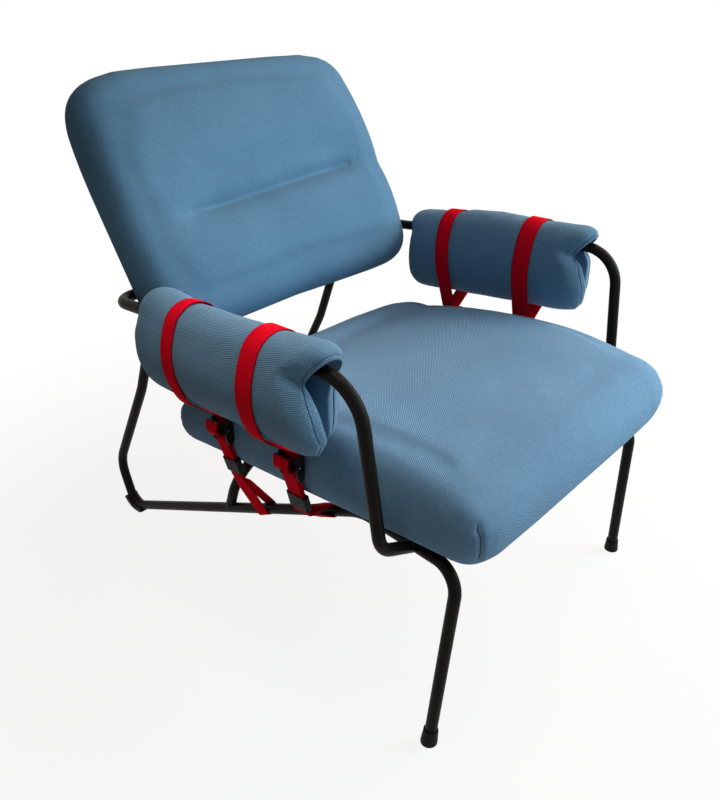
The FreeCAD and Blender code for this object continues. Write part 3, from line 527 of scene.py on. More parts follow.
# Puckers: the point of the seam that each starts from, its rise and its reach
PUCKERS = ((24, 0.30, 0.030), (18, -0.21, 0.022), (10, 0.18, 0.026), (5, -0.36, 0.018))
PUCKER = {"depth": 0.0009, "width": 0.0035}
PUCKER_START = 0.12
SEAT_BOARD_ASIDE = 0.050
SEAT_BOARD_INSET = 0.034
BOARD_THICK = 0.012
BOARD_CLEAR = 0.0012


def seat_frame(points):
    """Across, along from the front and up, measured in the seat cushion's own sloping frame."""
    y, z = points[:, 1] - SEAT_FRONT[1], points[:, 2] - SEAT_FRONT[2]
    along = y * math.cos(SEAT_SLOPE) + z * math.sin(SEAT_SLOPE)
    return points[:, 0], along, -y * math.sin(SEAT_SLOPE) + z * math.cos(SEAT_SLOPE)


def from_seat(across, along, up):
    across, along, up = np.broadcast_arrays(across, along, up)
    y = along * math.cos(SEAT_SLOPE) - up * math.sin(SEAT_SLOPE)
    z = along * math.sin(SEAT_SLOPE) + up * math.cos(SEAT_SLOPE)
    return np.column_stack([across, SEAT_FRONT[1] + y, SEAT_FRONT[2] + z])


def over_board(across, low, high, along, up, half):
    """Heights that keep a cover clear of the board let into its underside."""
    inside = (abs(across) < half + BOARD_CLEAR) & (along > low - BOARD_CLEAR) & (along < high + BOARD_CLEAR)
    return np.where(inside, np.maximum(up, BOARD_THICK + BOARD_CLEAR), np.maximum(up, 0.0))


seams = []


def puckered(mesh, seam, side, inward):
    """Short tucks that run from a corner seam onto the faces on both sides of it."""
    for start, rise, reach in PUCKERS:
        across, along, up = (v[0] for v in seat_frame(seam[start:start + 1]))
        run = reach * np.linspace(PUCKER_START, 1, 12)
        for aside, deeper in ((-0.9, 0.2), (0.1, 1.0)):
            guide = from_seat(across + side * aside * run, along + inward * deeper * run, up + rise * run)
            pulled_in(mesh, laid_on(guide, mesh), **PUCKER)


def seat_cushion():
    mesh, solid = cut_cover("seat_cushion")
    across, along, up = seat_frame(get_points(mesh))
    swell(mesh, 1 - ease(up, *SEAT_LOOSE_UP))
    fitted(mesh, solid)
    across, along, up = seat_frame(get_points(mesh))
    wide = window(along, *SEAT_BULGE_ALONG) * ease(up, 0.0, SEAT_BULGE_UP)
    high = window(along, *SEAT_CROWN_ALONG)
    along = along - SEAT_NOSE * (1 - ease(along, 0.0, SEAT_NOSE_LONG))
    set_points(mesh, from_seat(across * (1 + SEAT_BULGE * wide), along, up * (1 + SEAT_CROWN * high)))
    mesh = finer(mesh)
    for side in (-1, 1):
        for corner, inward in SEAT_CORNERS:
            seam = laid_on(from_seat(side * SEAT_HALF, corner, np.linspace(*SEAT_SEAM_UP, 30)), mesh)
            pulled_in(mesh, seam, **SEAT_SEAM)
            puckered(mesh, seam, side, inward)
            seams.append((mesh, seam))
    across, along, up = seat_frame(get_points(mesh))
    up = over_board(across, SEAT_BOARD_INSET, SEAT_LONG - SEAT_BOARD_INSET, along, up,
                    SEAT_HALF - SEAT_BOARD_ASIDE)
    set_points(mesh, from_seat(across, along, up))
    piece = adopt("seat_pad", mesh, seat_cloth)
    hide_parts("seat_cushion")


BACK_LEAN = math.radians(31.3)
BACK_UP = np.array((0, math.sin(BACK_LEAN), math.cos(BACK_LEAN)))
BACK_OUT = np.array((0, -math.cos(BACK_LEAN), math.sin(BACK_LEAN)))
BACK_THICK = 0.110
BACK_HIGH = 0.438
BACK_HALF = 0.295
BACK_FOOT = np.array((0, 0.137, 0.468)) - BACK_OUT * BACK_THICK / 2
BACK_LOOSE_OUT = (0.025, 0.045)
BACK_WIDER = 0.014
BACK_SWAY = 0.006
BACK_SWAY_UP = (0.25, 0.42)
# Where the groove cut in the solid is filled before the channel is sewn
FILL_OUT = (0.060, 0.080)
FILL_ASIDE = (0.20, 0.26)
FILL_UP = (0.100, 0.125), (0.270, 0.305)
FILL_UNDER = 0.001
# The channel: a wide hollow, longer above than below, with a narrow one along the stitching
SEWN_OUT = (0.05, 0.08)
SEWN_ACROSS = (-0.25, -0.11), (0.15, 0.27)
HOLLOW_DEEP, HOLLOW_ABOVE, HOLLOW_BELOW = 0.015, 0.060, 0.024
NARROW_DEEP, NARROW_WIDE = 0.009, 0.012
CREASE_UP = 0.192
CREASE_ENDS = (-0.18, 0.20)
CREASE_BOW = 0.010
CREASE_TURN = 7
CREASE_IN = 0.022
CREASE = {"depth": 0.0028, "width": 0.0050}
# The near edge is worn rounder, most of all at its upper corner
WORN_ASIDE = (0.17, 0.27)
WORN_UP = (0.30, 0.40)
WORN_EDGE = 0.25
BACK_BOARD_ASIDE = 0.044
BACK_BOARD_LOW = 0.058
BACK_BOARD_TOP = 0.050


def back_frame(points):
    """Across, up the slope and out of the front face, in the back cushion's own leaning frame."""
    off = points - BACK_FOOT
    return points[:, 0], off @ BACK_UP, off @ BACK_OUT


def from_back(across, up, out):
    across, up, out = np.broadcast_arrays(across, up, out)
    points = BACK_FOOT + up[:, None] * BACK_UP + out[:, None] * BACK_OUT
    points[:, 0] = across
    return points


def crease_up(across):
    return CREASE_UP + CREASE_BOW * np.sin(across * CREASE_TURN)


def back_cushion():
    mesh, solid = cut_cover("back_cushion")
    across, up, out = back_frame(get_points(mesh))
    swell(mesh, 1 - ease(out, *BACK_LOOSE_OUT))
    fitted(mesh, solid)
    across, up, out = back_frame(get_points(mesh))
    across = across * (1 + BACK_WIDER) + BACK_SWAY * ease(up, *BACK_SWAY_UP)
    filled = ease(out, *FILL_OUT) * (1 - ease(abs(across), *FILL_ASIDE)) * window(up, *FILL_UP)
    out = out + filled * np.maximum(0, BACK_THICK - FILL_UNDER - out)
    across, up, out = back_frame(relaxed(mesh, from_back(across, up, out), 60))
    off = up - crease_up(across)
    depth = HOLLOW_DEEP * hill(off, 0, np.where(off > 0, HOLLOW_ABOVE, HOLLOW_BELOW))
    depth += NARROW_DEEP * hill(off, 0, NARROW_WIDE)
    out = out - ease(out, *SEWN_OUT) * depth * window(across, *SEWN_ACROSS)
    worn = ease(-across, *WORN_ASIDE) * (WORN_EDGE + (1 - WORN_EDGE) * ease(up, *WORN_UP))
    points = relaxed(mesh, from_back(across, up, out), 34, worn, full=False)
    across, up, out = back_frame(points)
    out = over_board(across, BACK_BOARD_LOW, BACK_HIGH - BACK_BOARD_TOP, up, out,
                     BACK_HALF - BACK_BOARD_ASIDE)
    set_points(mesh, from_back(across, up, out))
    mesh = finer(mesh)
    across = np.linspace(*CREASE_ENDS, 60)
    bottom = BACK_THICK - CREASE_IN * window(across, *SEWN_ACROSS)
    pulled_in(mesh, laid_on(from_back(across, crease_up(across), bottom), mesh), **CREASE)
    piece = adopt("back_pad", mesh, back_cloth)
    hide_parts("back_cushion")


# Arm rolls: one pad folded over each arm, thick in the middle and sewn at its four edges

ROLL_Z = 0.505
ROLL_FRONT = -0.244
ROLL_REAR = 0.117
ROLL_DROP = 0.019
ROLL_HALF_WIDE = 0.050
ROLL_NOSE = 0.040
ROLL_NOSE_UP = 0.041
ROLL_FLANK = (ROLL_HALF_WIDE ** 2 + ROLL_NOSE_UP ** 2 - ROLL_NOSE ** 2) / (2 * (ROLL_HALF_WIDE - ROLL_NOSE))
ROLL_FLANK_IN = ROLL_FLANK - ROLL_HALF_WIDE
FLANK_ANGLE = math.atan2(ROLL_NOSE_UP, ROLL_FLANK_IN)
NOSE_RUN = ROLL_NOSE * (math.pi / 2 - FLANK_ANGLE)
FLANK_RUN = ROLL_FLANK * 2 * FLANK_ANGLE
HALF_ROUND = 2 * NOSE_RUN + FLANK_RUN
STRAP_Y = {"front": -0.144, "rear": 0.025}
STRAP_TILT = {"front": math.radians(0.5), "rear": math.radians(5)}
STRAP_WIDE = {"left": {"front": 0.031, "rear": 0.026}, "right": {"front": 0.034, "rear": 0.030}}
STRAP_ASIDE = {"front": 0.0012, "rear": 0.0016}
ARM_FRONT = (0.331, -0.294, 0.5645)
ARM_REAR = (0.311, 0.244, 0.520)
TUBE_R = 0.009
FOLD_STEPS = 112
LENGTH_STEPS = 84
FOLD_CROWDING = 0.45
LENGTH_CROWDING = 0.6
FOLD_EDGE = 0.018
RIM_ROUND = 0.030
EDGE_ROUND = 0.16
# Shares of the fold at which the arm tube passes the pad's ends
TUBE_LEVEL = (0.35, 0.65)
# Shares by which the pad swells between its straps, and how far its ends reach
PAD_SWELL = 0.020
FRONT_SWELL, FRONT_REACH = 0.020, 0.055
REAR_SLACK, REAR_REACH = 0.015, 0.040
STRAP_GRIP = (0.001, 0.024)
RIPPLE = 0.006
PLEAT, PLEAT_PITCH, PLEAT_SPAN = 0.010, 0.034, 0.11
# Shares by which the outer skin is drawn in beside the tube
TUCK_SPAN = 0.05
FRONT_TUCK, FRONT_TUCK_REACH = 0.42, 0.032
REAR_TUCK = 0.06
TUCK_SINK = 0.5
# Inside of the fold: its arch over the tube, its slit below, and what the open mouth adds at the front
MOUTH = (-0.01, 0.06)
ARCH_R, MOUTH_ARCH = 0.0160, 0.0065
ARCH_CLEAR = 0.0010
SLIT, MOUTH_SLIT, REAR_SLIT = 0.0025, 0.009, 0.004
FOLD_FOOT = -0.068
MOUTH_BELLY = 2.0
# The closing seam lies midway between the skins, but towards the inner one at the front
SEAM_LEAN, SEAM_LEAN_REACH = 0.42, 0.05
PAD_SEAM = {"depth": 0.0014, "width": 0.0022}
PAD_SEAM_ROWS = (1, LENGTH_STEPS - 2)
PAD_SEAM_SPAN = slice(5, -5)

# Where the pad's ends lie along the fold, from the outer lower edge over the arm to the inner lower edge
FRONT_END = {
    "left": [(0, -0.238), (0.10, -0.257), (0.22, -0.246), (0.30, -0.234), (0.35, -0.222), (0.40, -0.238),
             (0.45, -0.250), (0.50, -0.255), (0.56, -0.254), (0.62, -0.245), (0.66, -0.234), (0.76, -0.229),
             (0.92, -0.234), (1, -0.224)],
    "right": [(0, -0.228), (0.12, -0.241), (0.28, -0.238), (0.35, -0.226), (0.42, -0.246), (0.50, -0.259),
              (0.57, -0.250), (0.65, -0.226), (0.71, -0.243), (0.84, -0.257), (0.94, -0.253), (1, -0.238)],
}
REAR_END = [(0, 0.114), (0.15, 0.128), (0.29, 0.129), (0.36, 0.125), (0.42, 0.126), (0.50, 0.127),
            (0.57, 0.123), (0.64, 0.116), (0.72, 0.117), (0.88, 0.118), (1, 0.106)]
END_MARKS = 401
END_SOFTENING = 23
# How far the crest and the underside of each pad lie above the plain oval along the arm
CREST_LIFT = {
    "left": [(-0.26, 0.0), (-0.144, -0.005), (-0.06, -0.009), (0.025, -0.008), (0.07, -0.004), (0.11, 0.0)],
    "right": [(-0.26, -0.003), (-0.144, 0.0), (-0.06, 0.003), (0.0, 0.0), (0.025, -0.005), (0.11, -0.011)],
}
FOOT_LIFT = {
    "left": [(-0.26, 0.0), (0.11, 0.0)],
    "right": [(-0.26, 0.0), (-0.144, -0.002), (-0.06, -0.004), (0.025, -0.008), (0.11, -0.011)],
}
LIFT_BETWEEN = (-0.05, 0.06)


def end_line(marks):
    """A softened line through marks of fold share and depth, as a function of the share."""
    fine = np.linspace(0, 1, END_MARKS)
    soft = np.hanning(END_SOFTENING)
    line = np.pad(np.interp(fine, *zip(*marks)), END_SOFTENING // 2, mode="edge")
    line = np.convolve(line, soft / soft.sum(), mode="valid")
    return lambda share: np.interp(share, fine, line)


def roll_centre_z(y):
    return ROLL_Z + ROLL_DROP * ((ROLL_FRONT + ROLL_REAR) / 2 - y) / (ROLL_REAR - ROLL_FRONT)


def arm_at(y):
    """Distance from the middle plane and height of the arm tube at a depth."""
    share = (y - ARM_FRONT[1]) / (ARM_REAR[1] - ARM_FRONT[1])
    return (ARM_FRONT[0] + (ARM_REAR[0] - ARM_FRONT[0]) * share,
            ARM_FRONT[2] + (ARM_REAR[2] - ARM_FRONT[2]) * share)


def oval(run):
    """Outside of the roll section at a distance from the bottom, up the outer side and over."""
    half = np.where(run > HALF_ROUND, 2 * HALF_ROUND - run, run)
    side = np.where(run > HALF_ROUND, 1.0, -1.0)
    low = half / ROLL_NOSE
    flank = -FLANK_ANGLE + (half - NOSE_RUN) / ROLL_FLANK
    high = FLANK_ANGLE + (half - NOSE_RUN - FLANK_RUN) / ROLL_NOSE
    on_nose, on_flank = half < NOSE_RUN, half < NOSE_RUN + FLANK_RUN
    u = np.where(on_nose, ROLL_NOSE * np.sin(low),
                 np.where(on_flank, ROLL_FLANK * np.cos(flank) - ROLL_FLANK_IN, ROLL_NOSE * np.cos(high)))
    w = np.where(on_nose, -ROLL_NOSE_UP - ROLL_NOSE * np.cos(low),
                 np.where(on_flank, ROLL_FLANK * np.sin(flank), ROLL_NOSE_UP + ROLL_NOSE * np.sin(high)))
    return side * u, w


def fold_run(share):
    """Distance round the oval, from the bottom, at a share of the fold."""
    return FOLD_EDGE + share * (2 * HALF_ROUND - 2 * FOLD_EDGE)


def settled(side, w, y):
    """Heights on the oval once a pad has settled on its arm."""
    crest, foot = (np.interp(y, *zip(*table[side])) for table in (CREST_LIFT, FOOT_LIFT))
    return w + foot + (crest - foot) * ease(w, *LIFT_BETWEEN)


def teardrop(share, crest, radius, slit, foot, belly):
    """Inside of the fold: up from the slit at the foot, over the tube, and down. Belly fills the flaps."""
    leg = np.hypot(radius - slit, crest - foot)
    arch = math.pi * radius
    run = share * (2 * leg + arch)
    up = np.clip(run / leg, 0, 1)
    down = np.clip((2 * leg + arch - run) / leg, 0, 1)
    angle = math.pi - np.clip((run - leg) / radius, 0, math.pi)
    rising, falling = run < leg, run > leg + arch
    u = np.where(rising, -slit - (radius - slit) * up ** belly,
                 np.where(falling, slit + (radius - slit) * down ** belly, radius * np.cos(angle)))
    w = np.where(rising | falling, foot + (crest - foot) * np.where(rising, up, down),
                 crest + radius * np.sin(angle))
    return u, w


def beside_tube(share, span):
    return sum(hill(share, level, span) for level in TUBE_LEVEL)


def outer_skin(side, share, y, at_front, at_rear):
    """The oval, settled, gripped by the straps, and swollen and creased between them."""
    u, w = oval(fold_run(share))
    w = settled(side, w, y)
    free = np.ones_like(u)
    for end in ENDS:
        middle = STRAP_Y[end] + STRAP_ASIDE[end] + w * math.tan(STRAP_TILT[end])
        free = np.minimum(free, ease(abs(y - middle) - STRAP_WIDE[side][end] / 2, *STRAP_GRIP))
    ripple = np.sin(math.tau * (9.3 * share + 0.35 * np.sin(31 * y + 2)) + 1) * np.sin(38 * y + 5 * share)
    pleats = np.sin(math.tau * share / PLEAT_PITCH + 1.2) * beside_tube(share, PLEAT_SPAN)
    grow = 1 + free * (PAD_SWELL + FRONT_SWELL * at_front - REAR_SLACK * at_rear + RIPPLE * ripple
                       + PLEAT * pleats * np.maximum(at_front, at_rear))
    return u * grow, w * grow


def inner_skin(share, y, at_rear):
    """The fold's inside, snug over the arm tube and opened to a mouth at the front."""
    tube_top = arm_at(y)[1] - roll_centre_z(y) + TUBE_R
    opening = 1 - ease(y, ROLL_FRONT + MOUTH[0], ROLL_FRONT + MOUTH[1])
    radius = ARCH_R + MOUTH_ARCH * opening
    crest = tube_top + ARCH_CLEAR + MOUTH_ARCH * opening - radius
    slit = SLIT + MOUTH_SLIT * opening + REAR_SLIT * at_rear
    return teardrop(share, crest, radius, slit, FOLD_FOOT, 1 + MOUTH_BELLY * opening)


def roll_skins(side, share, y, from_front, from_rear):
    """Outer and inner skin of the folded pad across the arm, before its edges are closed."""
    at_front = 1 - ease(from_front, 0.0, FRONT_REACH)
    at_rear = 1 - ease(from_rear, 0.0, REAR_REACH)
    ou, ow = outer_skin(side, share, y, at_front, at_rear)
    iu, iw = inner_skin(share, y, at_rear)
    tuck = np.maximum(FRONT_TUCK * (1 - ease(from_front, 0.0, FRONT_TUCK_REACH)), REAR_TUCK * at_rear)
    drawn_in = beside_tube(share, TUCK_SPAN) * tuck
    return (ou + (iu - ou) * drawn_in, ow + (iw - ow) * TUCK_SINK * drawn_in), (iu, iw)


def crowded(steps, share):
    """Marks from 0 to 1, a share of the way from evenly spaced to crowded at both ends."""
    marks = np.linspace(0, 1, steps + 1)
    return share * (0.5 - 0.5 * np.cos(math.pi * marks)) + (1 - share) * marks


def pad_skins(side):
    """Grids of points on the outer and inner skin of a folded pad, and on the pad as it was cut."""
    share, part = np.meshgrid(crowded(FOLD_STEPS, FOLD_CROWDING), crowded(LENGTH_STEPS, LENGTH_CROWDING),
                              indexing="ij")
    front, rear = end_line(FRONT_END[side])(share), end_line(REAR_END)(share)
    y = front + (rear - front) * part
    (ou, ow), (iu, iw) = roll_skins(side, share, y, y - front, rear - y)
    edge = np.minimum(1, np.minimum(share, 1 - share) / EDGE_ROUND)
    rim = np.minimum(1, np.minimum(y - front, rear - y) / RIM_ROUND)
    full = np.sqrt(np.maximum(0, 1 - (1 - edge) ** 2) * np.maximum(0, 1 - (1 - rim) ** 2))
    lean = 0.5 - SEAM_LEAN * (1 - ease(y - front, 0.0, SEAM_LEAN_REACH))
    mu, mw = iu + (ou - iu) * lean, iw + (ow - iw) * lean
    tube_x, centre = arm_at(y)[0], roll_centre_z(y)
    skins = {}
    for name, (pu, pw) in (("out", (ou, ow)), ("in", (iu, iw))):
        u, w = mu + (pu - mu) * full, mw + (pw - mw) * full
        skins[name] = np.stack([SIDES[side] * (tube_x - u), y, centre + w], axis=-1)
    return skins, np.stack([fold_run(share), y, np.zeros_like(y)], axis=-1)


def pad_mesh(name, skins, cut):
    """Both skins as one closed mesh, joined along their edges, with the cut as an attribute."""
    verts, laid, index = [], [], {}
    for i in range(FOLD_STEPS + 1):
        for j in range(LENGTH_STEPS + 1):
            on_edge = i in (0, FOLD_STEPS) or j in (0, LENGTH_STEPS)
            for skin in ("out", "in"):
                if on_edge and skin == "in":
                    index[skin, i, j] = index["out", i, j]
                    continue
                index[skin, i, j] = len(verts)
                verts.append(skins[skin][i, j])
                laid.extend(cut[i, j])
    faces = [[index[skin, i, j], index[skin, i + 1, j], index[skin, i + 1, j + 1], index[skin, i, j + 1]]
             for i in range(FOLD_STEPS) for j in range(LENGTH_STEPS) for skin in ("out", "in")]
    mesh = drawn(name, verts, faces)
    mesh.attributes.new(CUT_GRID, "FLOAT_VECTOR", "POINT").data.foreach_set("vector", laid)
    return mesh


def arm_roll(side):
    skins, cut = pad_skins(side)
    mesh = pad_mesh("arm_pad_" + side, skins, cut)
    set_points(mesh, relaxed(mesh, get_points(mesh), 2))
    mesh = finer(mesh)
    for row in PAD_SEAM_ROWS:
        seam = laid_on(even(skins["out"][PAD_SEAM_SPAN, row], 0.003), mesh)
        pulled_in(mesh, seam, **PAD_SEAM)
        seams.append((mesh, seam))
    piece = adopt("arm_pad_" + side, mesh, roll_cloth)
    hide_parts("arm_roll_" + side)


# Webbing: flat strips along paths drawn in the plane across each strap

WEB_THICK = 0.002
BUCKLE = (0.021, -0.131)
BUCKLE_TOP = 0.018
BUCKLE_PLAY = 0.0004
PLATE_BACK = 0.007
CHANNEL = 0.0037
BAR_LOW = -0.019
BAR_R = 0.002
LOOP_TOP = BUCKLE_TOP - 0.001
SEWN_LOW = -0.013
SEWN_BEND = 0.012
TAIL_LOW = -0.0074
TAIL_OUT = -0.019
TAIL_HIGH = 0.017
TAIL_LEAN = 0.002
TAIL_BENDS = [0.0035, 0.009]
STRAP_OFF = 0.0014 + WEB_THICK / 2
KEEP_END = np.array((0.038, -0.224))
KEEP_HALF = 0.00135
RAIL_TOP = Vector((0.228, -0.209, 0.284))
RAIL_FOOT = Vector((0.242, 0.414, -0.0001))
RAIL_FALL = (RAIL_FOOT.z - RAIL_TOP.z) / (RAIL_FOOT.y - RAIL_TOP.y)
RAIL_PLAY = 0.0006
SHEAR_RUN = 0.02


def rail_at(y):
    return RAIL_TOP + (RAIL_FOOT - RAIL_TOP) * ((y - RAIL_TOP.y) / (RAIL_FOOT.y - RAIL_TOP.y))


def in_buckle(u, w):
    return (BUCKLE[0] + u, BUCKLE[1] + w)


BAR = np.array(in_buckle(0, BAR_LOW))


def rounded(points, radii, step):
    """Points along a run of straight lines whose corners are rounded."""
    line = [np.array(points[0], float)]
    for before, corner, after, radius in zip(points, points[1:], points[2:], radii):
        corner = np.array(corner, float)
        a, b = np.array(before, float) - corner, np.array(after, float) - corner
        a, b = a / np.linalg.norm(a), b / np.linalg.norm(b)
        half = math.acos(np.clip(a @ b, -1, 1)) / 2
        centre = corner + (a + b) / np.linalg.norm(a + b) * radius / math.sin(half)
        first = corner + a * radius / math.tan(half) - centre
        last = corner + b * radius / math.tan(half) - centre
        swing = math.pi - 2 * half
        for t in np.linspace(0, 1, max(3, int(swing * radius / step) + 2)):
            turned = first * math.sin((1 - t) * swing) + last * math.sin(t * swing)
            line.append(centre + turned / math.sin(swing))
    line.append(np.array(points[-1], float))
    return even(np.array(line), step)


def hull(points):
    """Convex outline of points in a plane, anticlockwise."""
    ordered = sorted(map(tuple, points))

    def chain(sequence):
        kept = []
        for p in sequence:
            while len(kept) > 1 and ((kept[-1][0] - kept[-2][0]) * (p[1] - kept[-2][1])
                                     - (kept[-1][1] - kept[-2][1]) * (p[0] - kept[-2][0])) <= 0:
                kept.pop()
            kept.append(p)
        return kept[:-1]

    return chain(ordered) + chain(ordered[::-1])


def opened(outline, first, last):
    """A closed outline cut open so that it runs from one of its points to a neighbour of it."""
    at = outline.index(first)
    outline = outline[at:] + outline[:at]
    return outline if outline[-1] == last else [outline[0]] + outline[:0:-1]


WEB_SECTION = [(-0.5, -0.15), (-0.47, -0.5), (-0.2, -0.5), (0.2, -0.5), (0.47, -0.5),
               (0.5, -0.15), (0.5, 0.15), (0.47, 0.5), (0.2, 0.5), (-0.2, 0.5), (-0.47, 0.5), (-0.5, 0.15)]


def strip(name, line, place, wide, closed=False, shear=None):
    """Webbing along a line in the strap plane; place turns (u, across, w) into the chair's frame."""
    count = len(line)
    tangent = np.roll(line, -1, 0) - np.roll(line, 1, 0) if closed else np.gradient(line, axis=0)
    tangent /= np.linalg.norm(tangent, axis=1, keepdims=True)
    normal = np.column_stack([-tangent[:, 1], tangent[:, 0]])
    run = np.concatenate([[0], np.cumsum(np.linalg.norm(np.diff(line, axis=0), axis=1))])
    shear = np.zeros(count) if shear is None else shear

    def point(i, across, high):
        u, w = line[i] + normal[i] * high
        return place(u, across * wide, w + shear[i] * across * wide)

    ring = len(WEB_SECTION)
    verts = [point(i, across, high * WEB_THICK) for i in range(count) for across, high in WEB_SECTION]
    uv = [(across * WEB_NOMINAL, run[i]) for i in range(count) for across, high in WEB_SECTION]
    faces = []
    for i in range(count if closed else count - 1):
        k = (i + 1) % count
        for s in range(ring):
            n = (s + 1) % ring
            faces.append((i * ring + s, k * ring + s, k * ring + n, i * ring + n))
    if not closed:
        faces.append(tuple(range(ring)))
        faces.append(tuple(range((count - 1) * ring, count * ring))[::-1])
    mesh = drawn(name, verts, faces)
    layer = mesh.uv_layers.new(name="along")
    for loop in mesh.loops:
        layer.data[loop.index].uv = uv[loop.vertex_index]
    return adopt(name, mesh, webbing)


def strap_place(side, end):
    """Turns a strap's own (u towards the middle, across, up) into the chair's frame."""
    sign, tilt = SIDES[side], STRAP_TILT[end]
    x, y = sign * arm_at(STRAP_Y[end])[0], STRAP_Y[end]
    z = roll_centre_z(y)

    def place(u, t, w):
        if sign > 0:
            u, t = -u, -t
        t += STRAP_ASIDE[end]
        return (x + u, y + t * math.cos(tilt) + w * math.sin(tilt),
                z - t * math.sin(tilt) + w * math.cos(tilt))

    return place


def strap_loop(side, end):
    """Over the roll and down to the buckle: one end sewn behind it, the other out of it as a short tail."""
    u, w = oval(np.linspace(0, 2 * HALF_ROUND, 241))
    w = settled(side, w, STRAP_Y[end])
    size = 1 + STRAP_OFF / np.hypot(u, w)
    behind = PLATE_BACK + BUCKLE_PLAY + WEB_THICK / 2
    inner, outer = in_buckle(behind, LOOP_TOP), in_buckle(CHANNEL, LOOP_TOP)
    ring = hull(list(zip(u * size, w * size)) + [inner, outer])
    over = even(np.array(opened(ring, inner, outer)), 0.003)
    # The sewn end's bend takes up the first points of the loop
    over = over[4:]
    sewn = rounded([in_buckle(behind, SEWN_LOW), inner, tuple(over[0])], [SEWN_BEND], 0.002)
    tail = rounded([outer, in_buckle(CHANNEL, TAIL_LOW), in_buckle(TAIL_OUT, TAIL_LOW),
                    in_buckle(TAIL_OUT + TAIL_LEAN, TAIL_HIGH)], TAIL_BENDS, 0.0015)
    line = even(np.concatenate([sewn[:-1], over, tail[1:]]), 0.0025)
    piece = strip("webbing_loop_%s_%s" % (side, end), line, strap_place(side, end), STRAP_WIDE[side][end])
    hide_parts("strap_loop_%s_%s" % (side, end))


def ring_of(centre, radius, count, stretch=1.0):
    """Points round a circle, stretched up and down."""
    return [tuple(centre + radius * np.array((math.cos(a), math.sin(a) * stretch)))
            for a in np.linspace(0, math.tau, count, endpoint=False)]


def strap_anchor(side, end):
    """From the buckle bar through the keeper and snugly round the sloping rail."""
    tilt, y = STRAP_TILT[end], STRAP_Y[end]
    lean = math.tan(tilt)
    fall = (roll_centre_z(y) - rail_at(y).z) / (1 - RAIL_FALL * lean)
    rail = np.array((arm_at(y)[0] - rail_at(y - fall * lean).x, -fall / math.cos(tilt)))
    way = (KEEP_END - BAR) / np.linalg.norm(KEEP_END - BAR)
    neck = np.array((-way[1], way[0])) * KEEP_HALF
    first, last = tuple(KEEP_END + neck), tuple(KEEP_END - neck)
    stretch = 1 / math.cos(math.atan(RAIL_FALL))
    round_rail = ring_of(rail, TUBE_R + RAIL_PLAY + WEB_THICK / 2, 72, stretch)
    round_bar = ring_of(BAR, BAR_R + BUCKLE_PLAY + WEB_THICK / 2, 40)
    down = opened(hull(round_rail + [first, last]), first, last)
    up = opened(hull(round_bar + [first, last]), first, last)[::-1]
    line = even(np.array(down + up[1:] + [down[0]]), 0.002)[:-1]
    for _ in range(3):
        line = (line * 2 + np.roll(line, 1, 0) + np.roll(line, -1, 0)) / 4
    shear = ease(KEEP_END[1] - line[:, 1], 0.0, SHEAR_RUN) * RAIL_FALL * -SIDES[side]
    piece = strip("webbing_anchor_%s_%s" % (side, end), line, strap_place(side, end),
                  STRAP_WIDE[side][end], True, shear)
    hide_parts("strap_anchor_%s_%s" % (side, end))


seat_cushion()
back_cushion()
for side in SIDES:
    arm_roll(side)
    for end in ENDS:
        strap_loop(side, end)
        strap_anchor(side, end)


# Stitches along the seams, and a dark cord down each seam as painted shadow, set out by Geometry Nodes


def stitch_tree(material):
    """Stitches of a given pitch, length and thread along every line that it is given."""
    tree = bpy.data.node_groups.new("stitches_" + material.name, "GeometryNodeTree")
    tree.interface.new_socket("Seam", in_out="INPUT", socket_type="NodeSocketGeometry")
    for name in ("Pitch", "Stitch length", "Thread radius"):
        tree.interface.new_socket(name, in_out="INPUT", socket_type="NodeSocketFloat")
    tree.interface.new_socket("Stitches", in_out="OUTPUT", socket_type="NodeSocketGeometry")

    def node(kind, sockets=None, **settings):
        return new_node(tree, "GeometryNode" + kind, sockets, **settings)

    given = new_node(tree, "NodeGroupInput")
    thick = given["Thread radius"]
    line = node("MeshToCurve", {"Mesh": given["Seam"]})["Curve"]
    spaced = node("ResampleCurve", {"Curve": line, "Length": given["Pitch"]}, mode="LENGTH")["Curve"]
    bead = node("MeshUVSphere", {"Segments": 6, "Rings": 4, "Radius": 1.0})["Mesh"]
    along = node("InputTangent")["Tangent"]
    aim = new_node(tree, "FunctionNodeAlignEulerToVector", {"Vector": along}, axis="Z")["Rotation"]
    half = add(tree, "Math", {0: given["Stitch length"], 1: 0.5}, operation="MULTIPLY")["Value"]
    size = add(tree, "CombineXYZ", {"X": thick, "Y": thick, "Z": half})["Vector"]
    laid = node("InstanceOnPoints", {"Points": spaced, "Instance": bead, "Rotation": aim, "Scale": size})
    real = node("RealizeInstances", {"Geometry": laid["Instances"]})["Geometry"]
    dyed = node("SetMaterial", {"Geometry": real, "Material": material})["Geometry"]
    new_node(tree, "NodeGroupOutput", {"Stitches": dyed})
    return tree


def stitched(name, paths, material, sizes):
    """One mesh of stitches along several paths."""
    verts, edges = [], []
    for path in paths:
        first = len(verts)
        verts += [tuple(p) for p in path]
        edges += [(i, i + 1) for i in range(first, len(verts) - 1)]
    guide = bpy.data.meshes.new(name + "_guide")
    guide.from_pydata(verts, edges, [])
    scratch = bpy.data.objects.new(name + "_guide", guide)
    bpy.context.scene.collection.objects.link(scratch)
    tree = stitch_tree(material)
    modifier = scratch.modifiers.new("stitches", "NODES")
    modifier.node_group = tree
    for item in tree.interface.items_tree:
        if item.in_out == "INPUT" and item.name in sizes:
            modifier[item.identifier] = sizes[item.name]
    mesh = baked(scratch)
    bpy.data.objects.remove(scratch)
    adopt(name, mesh, material)


SEAM_LIFT = 0.0004
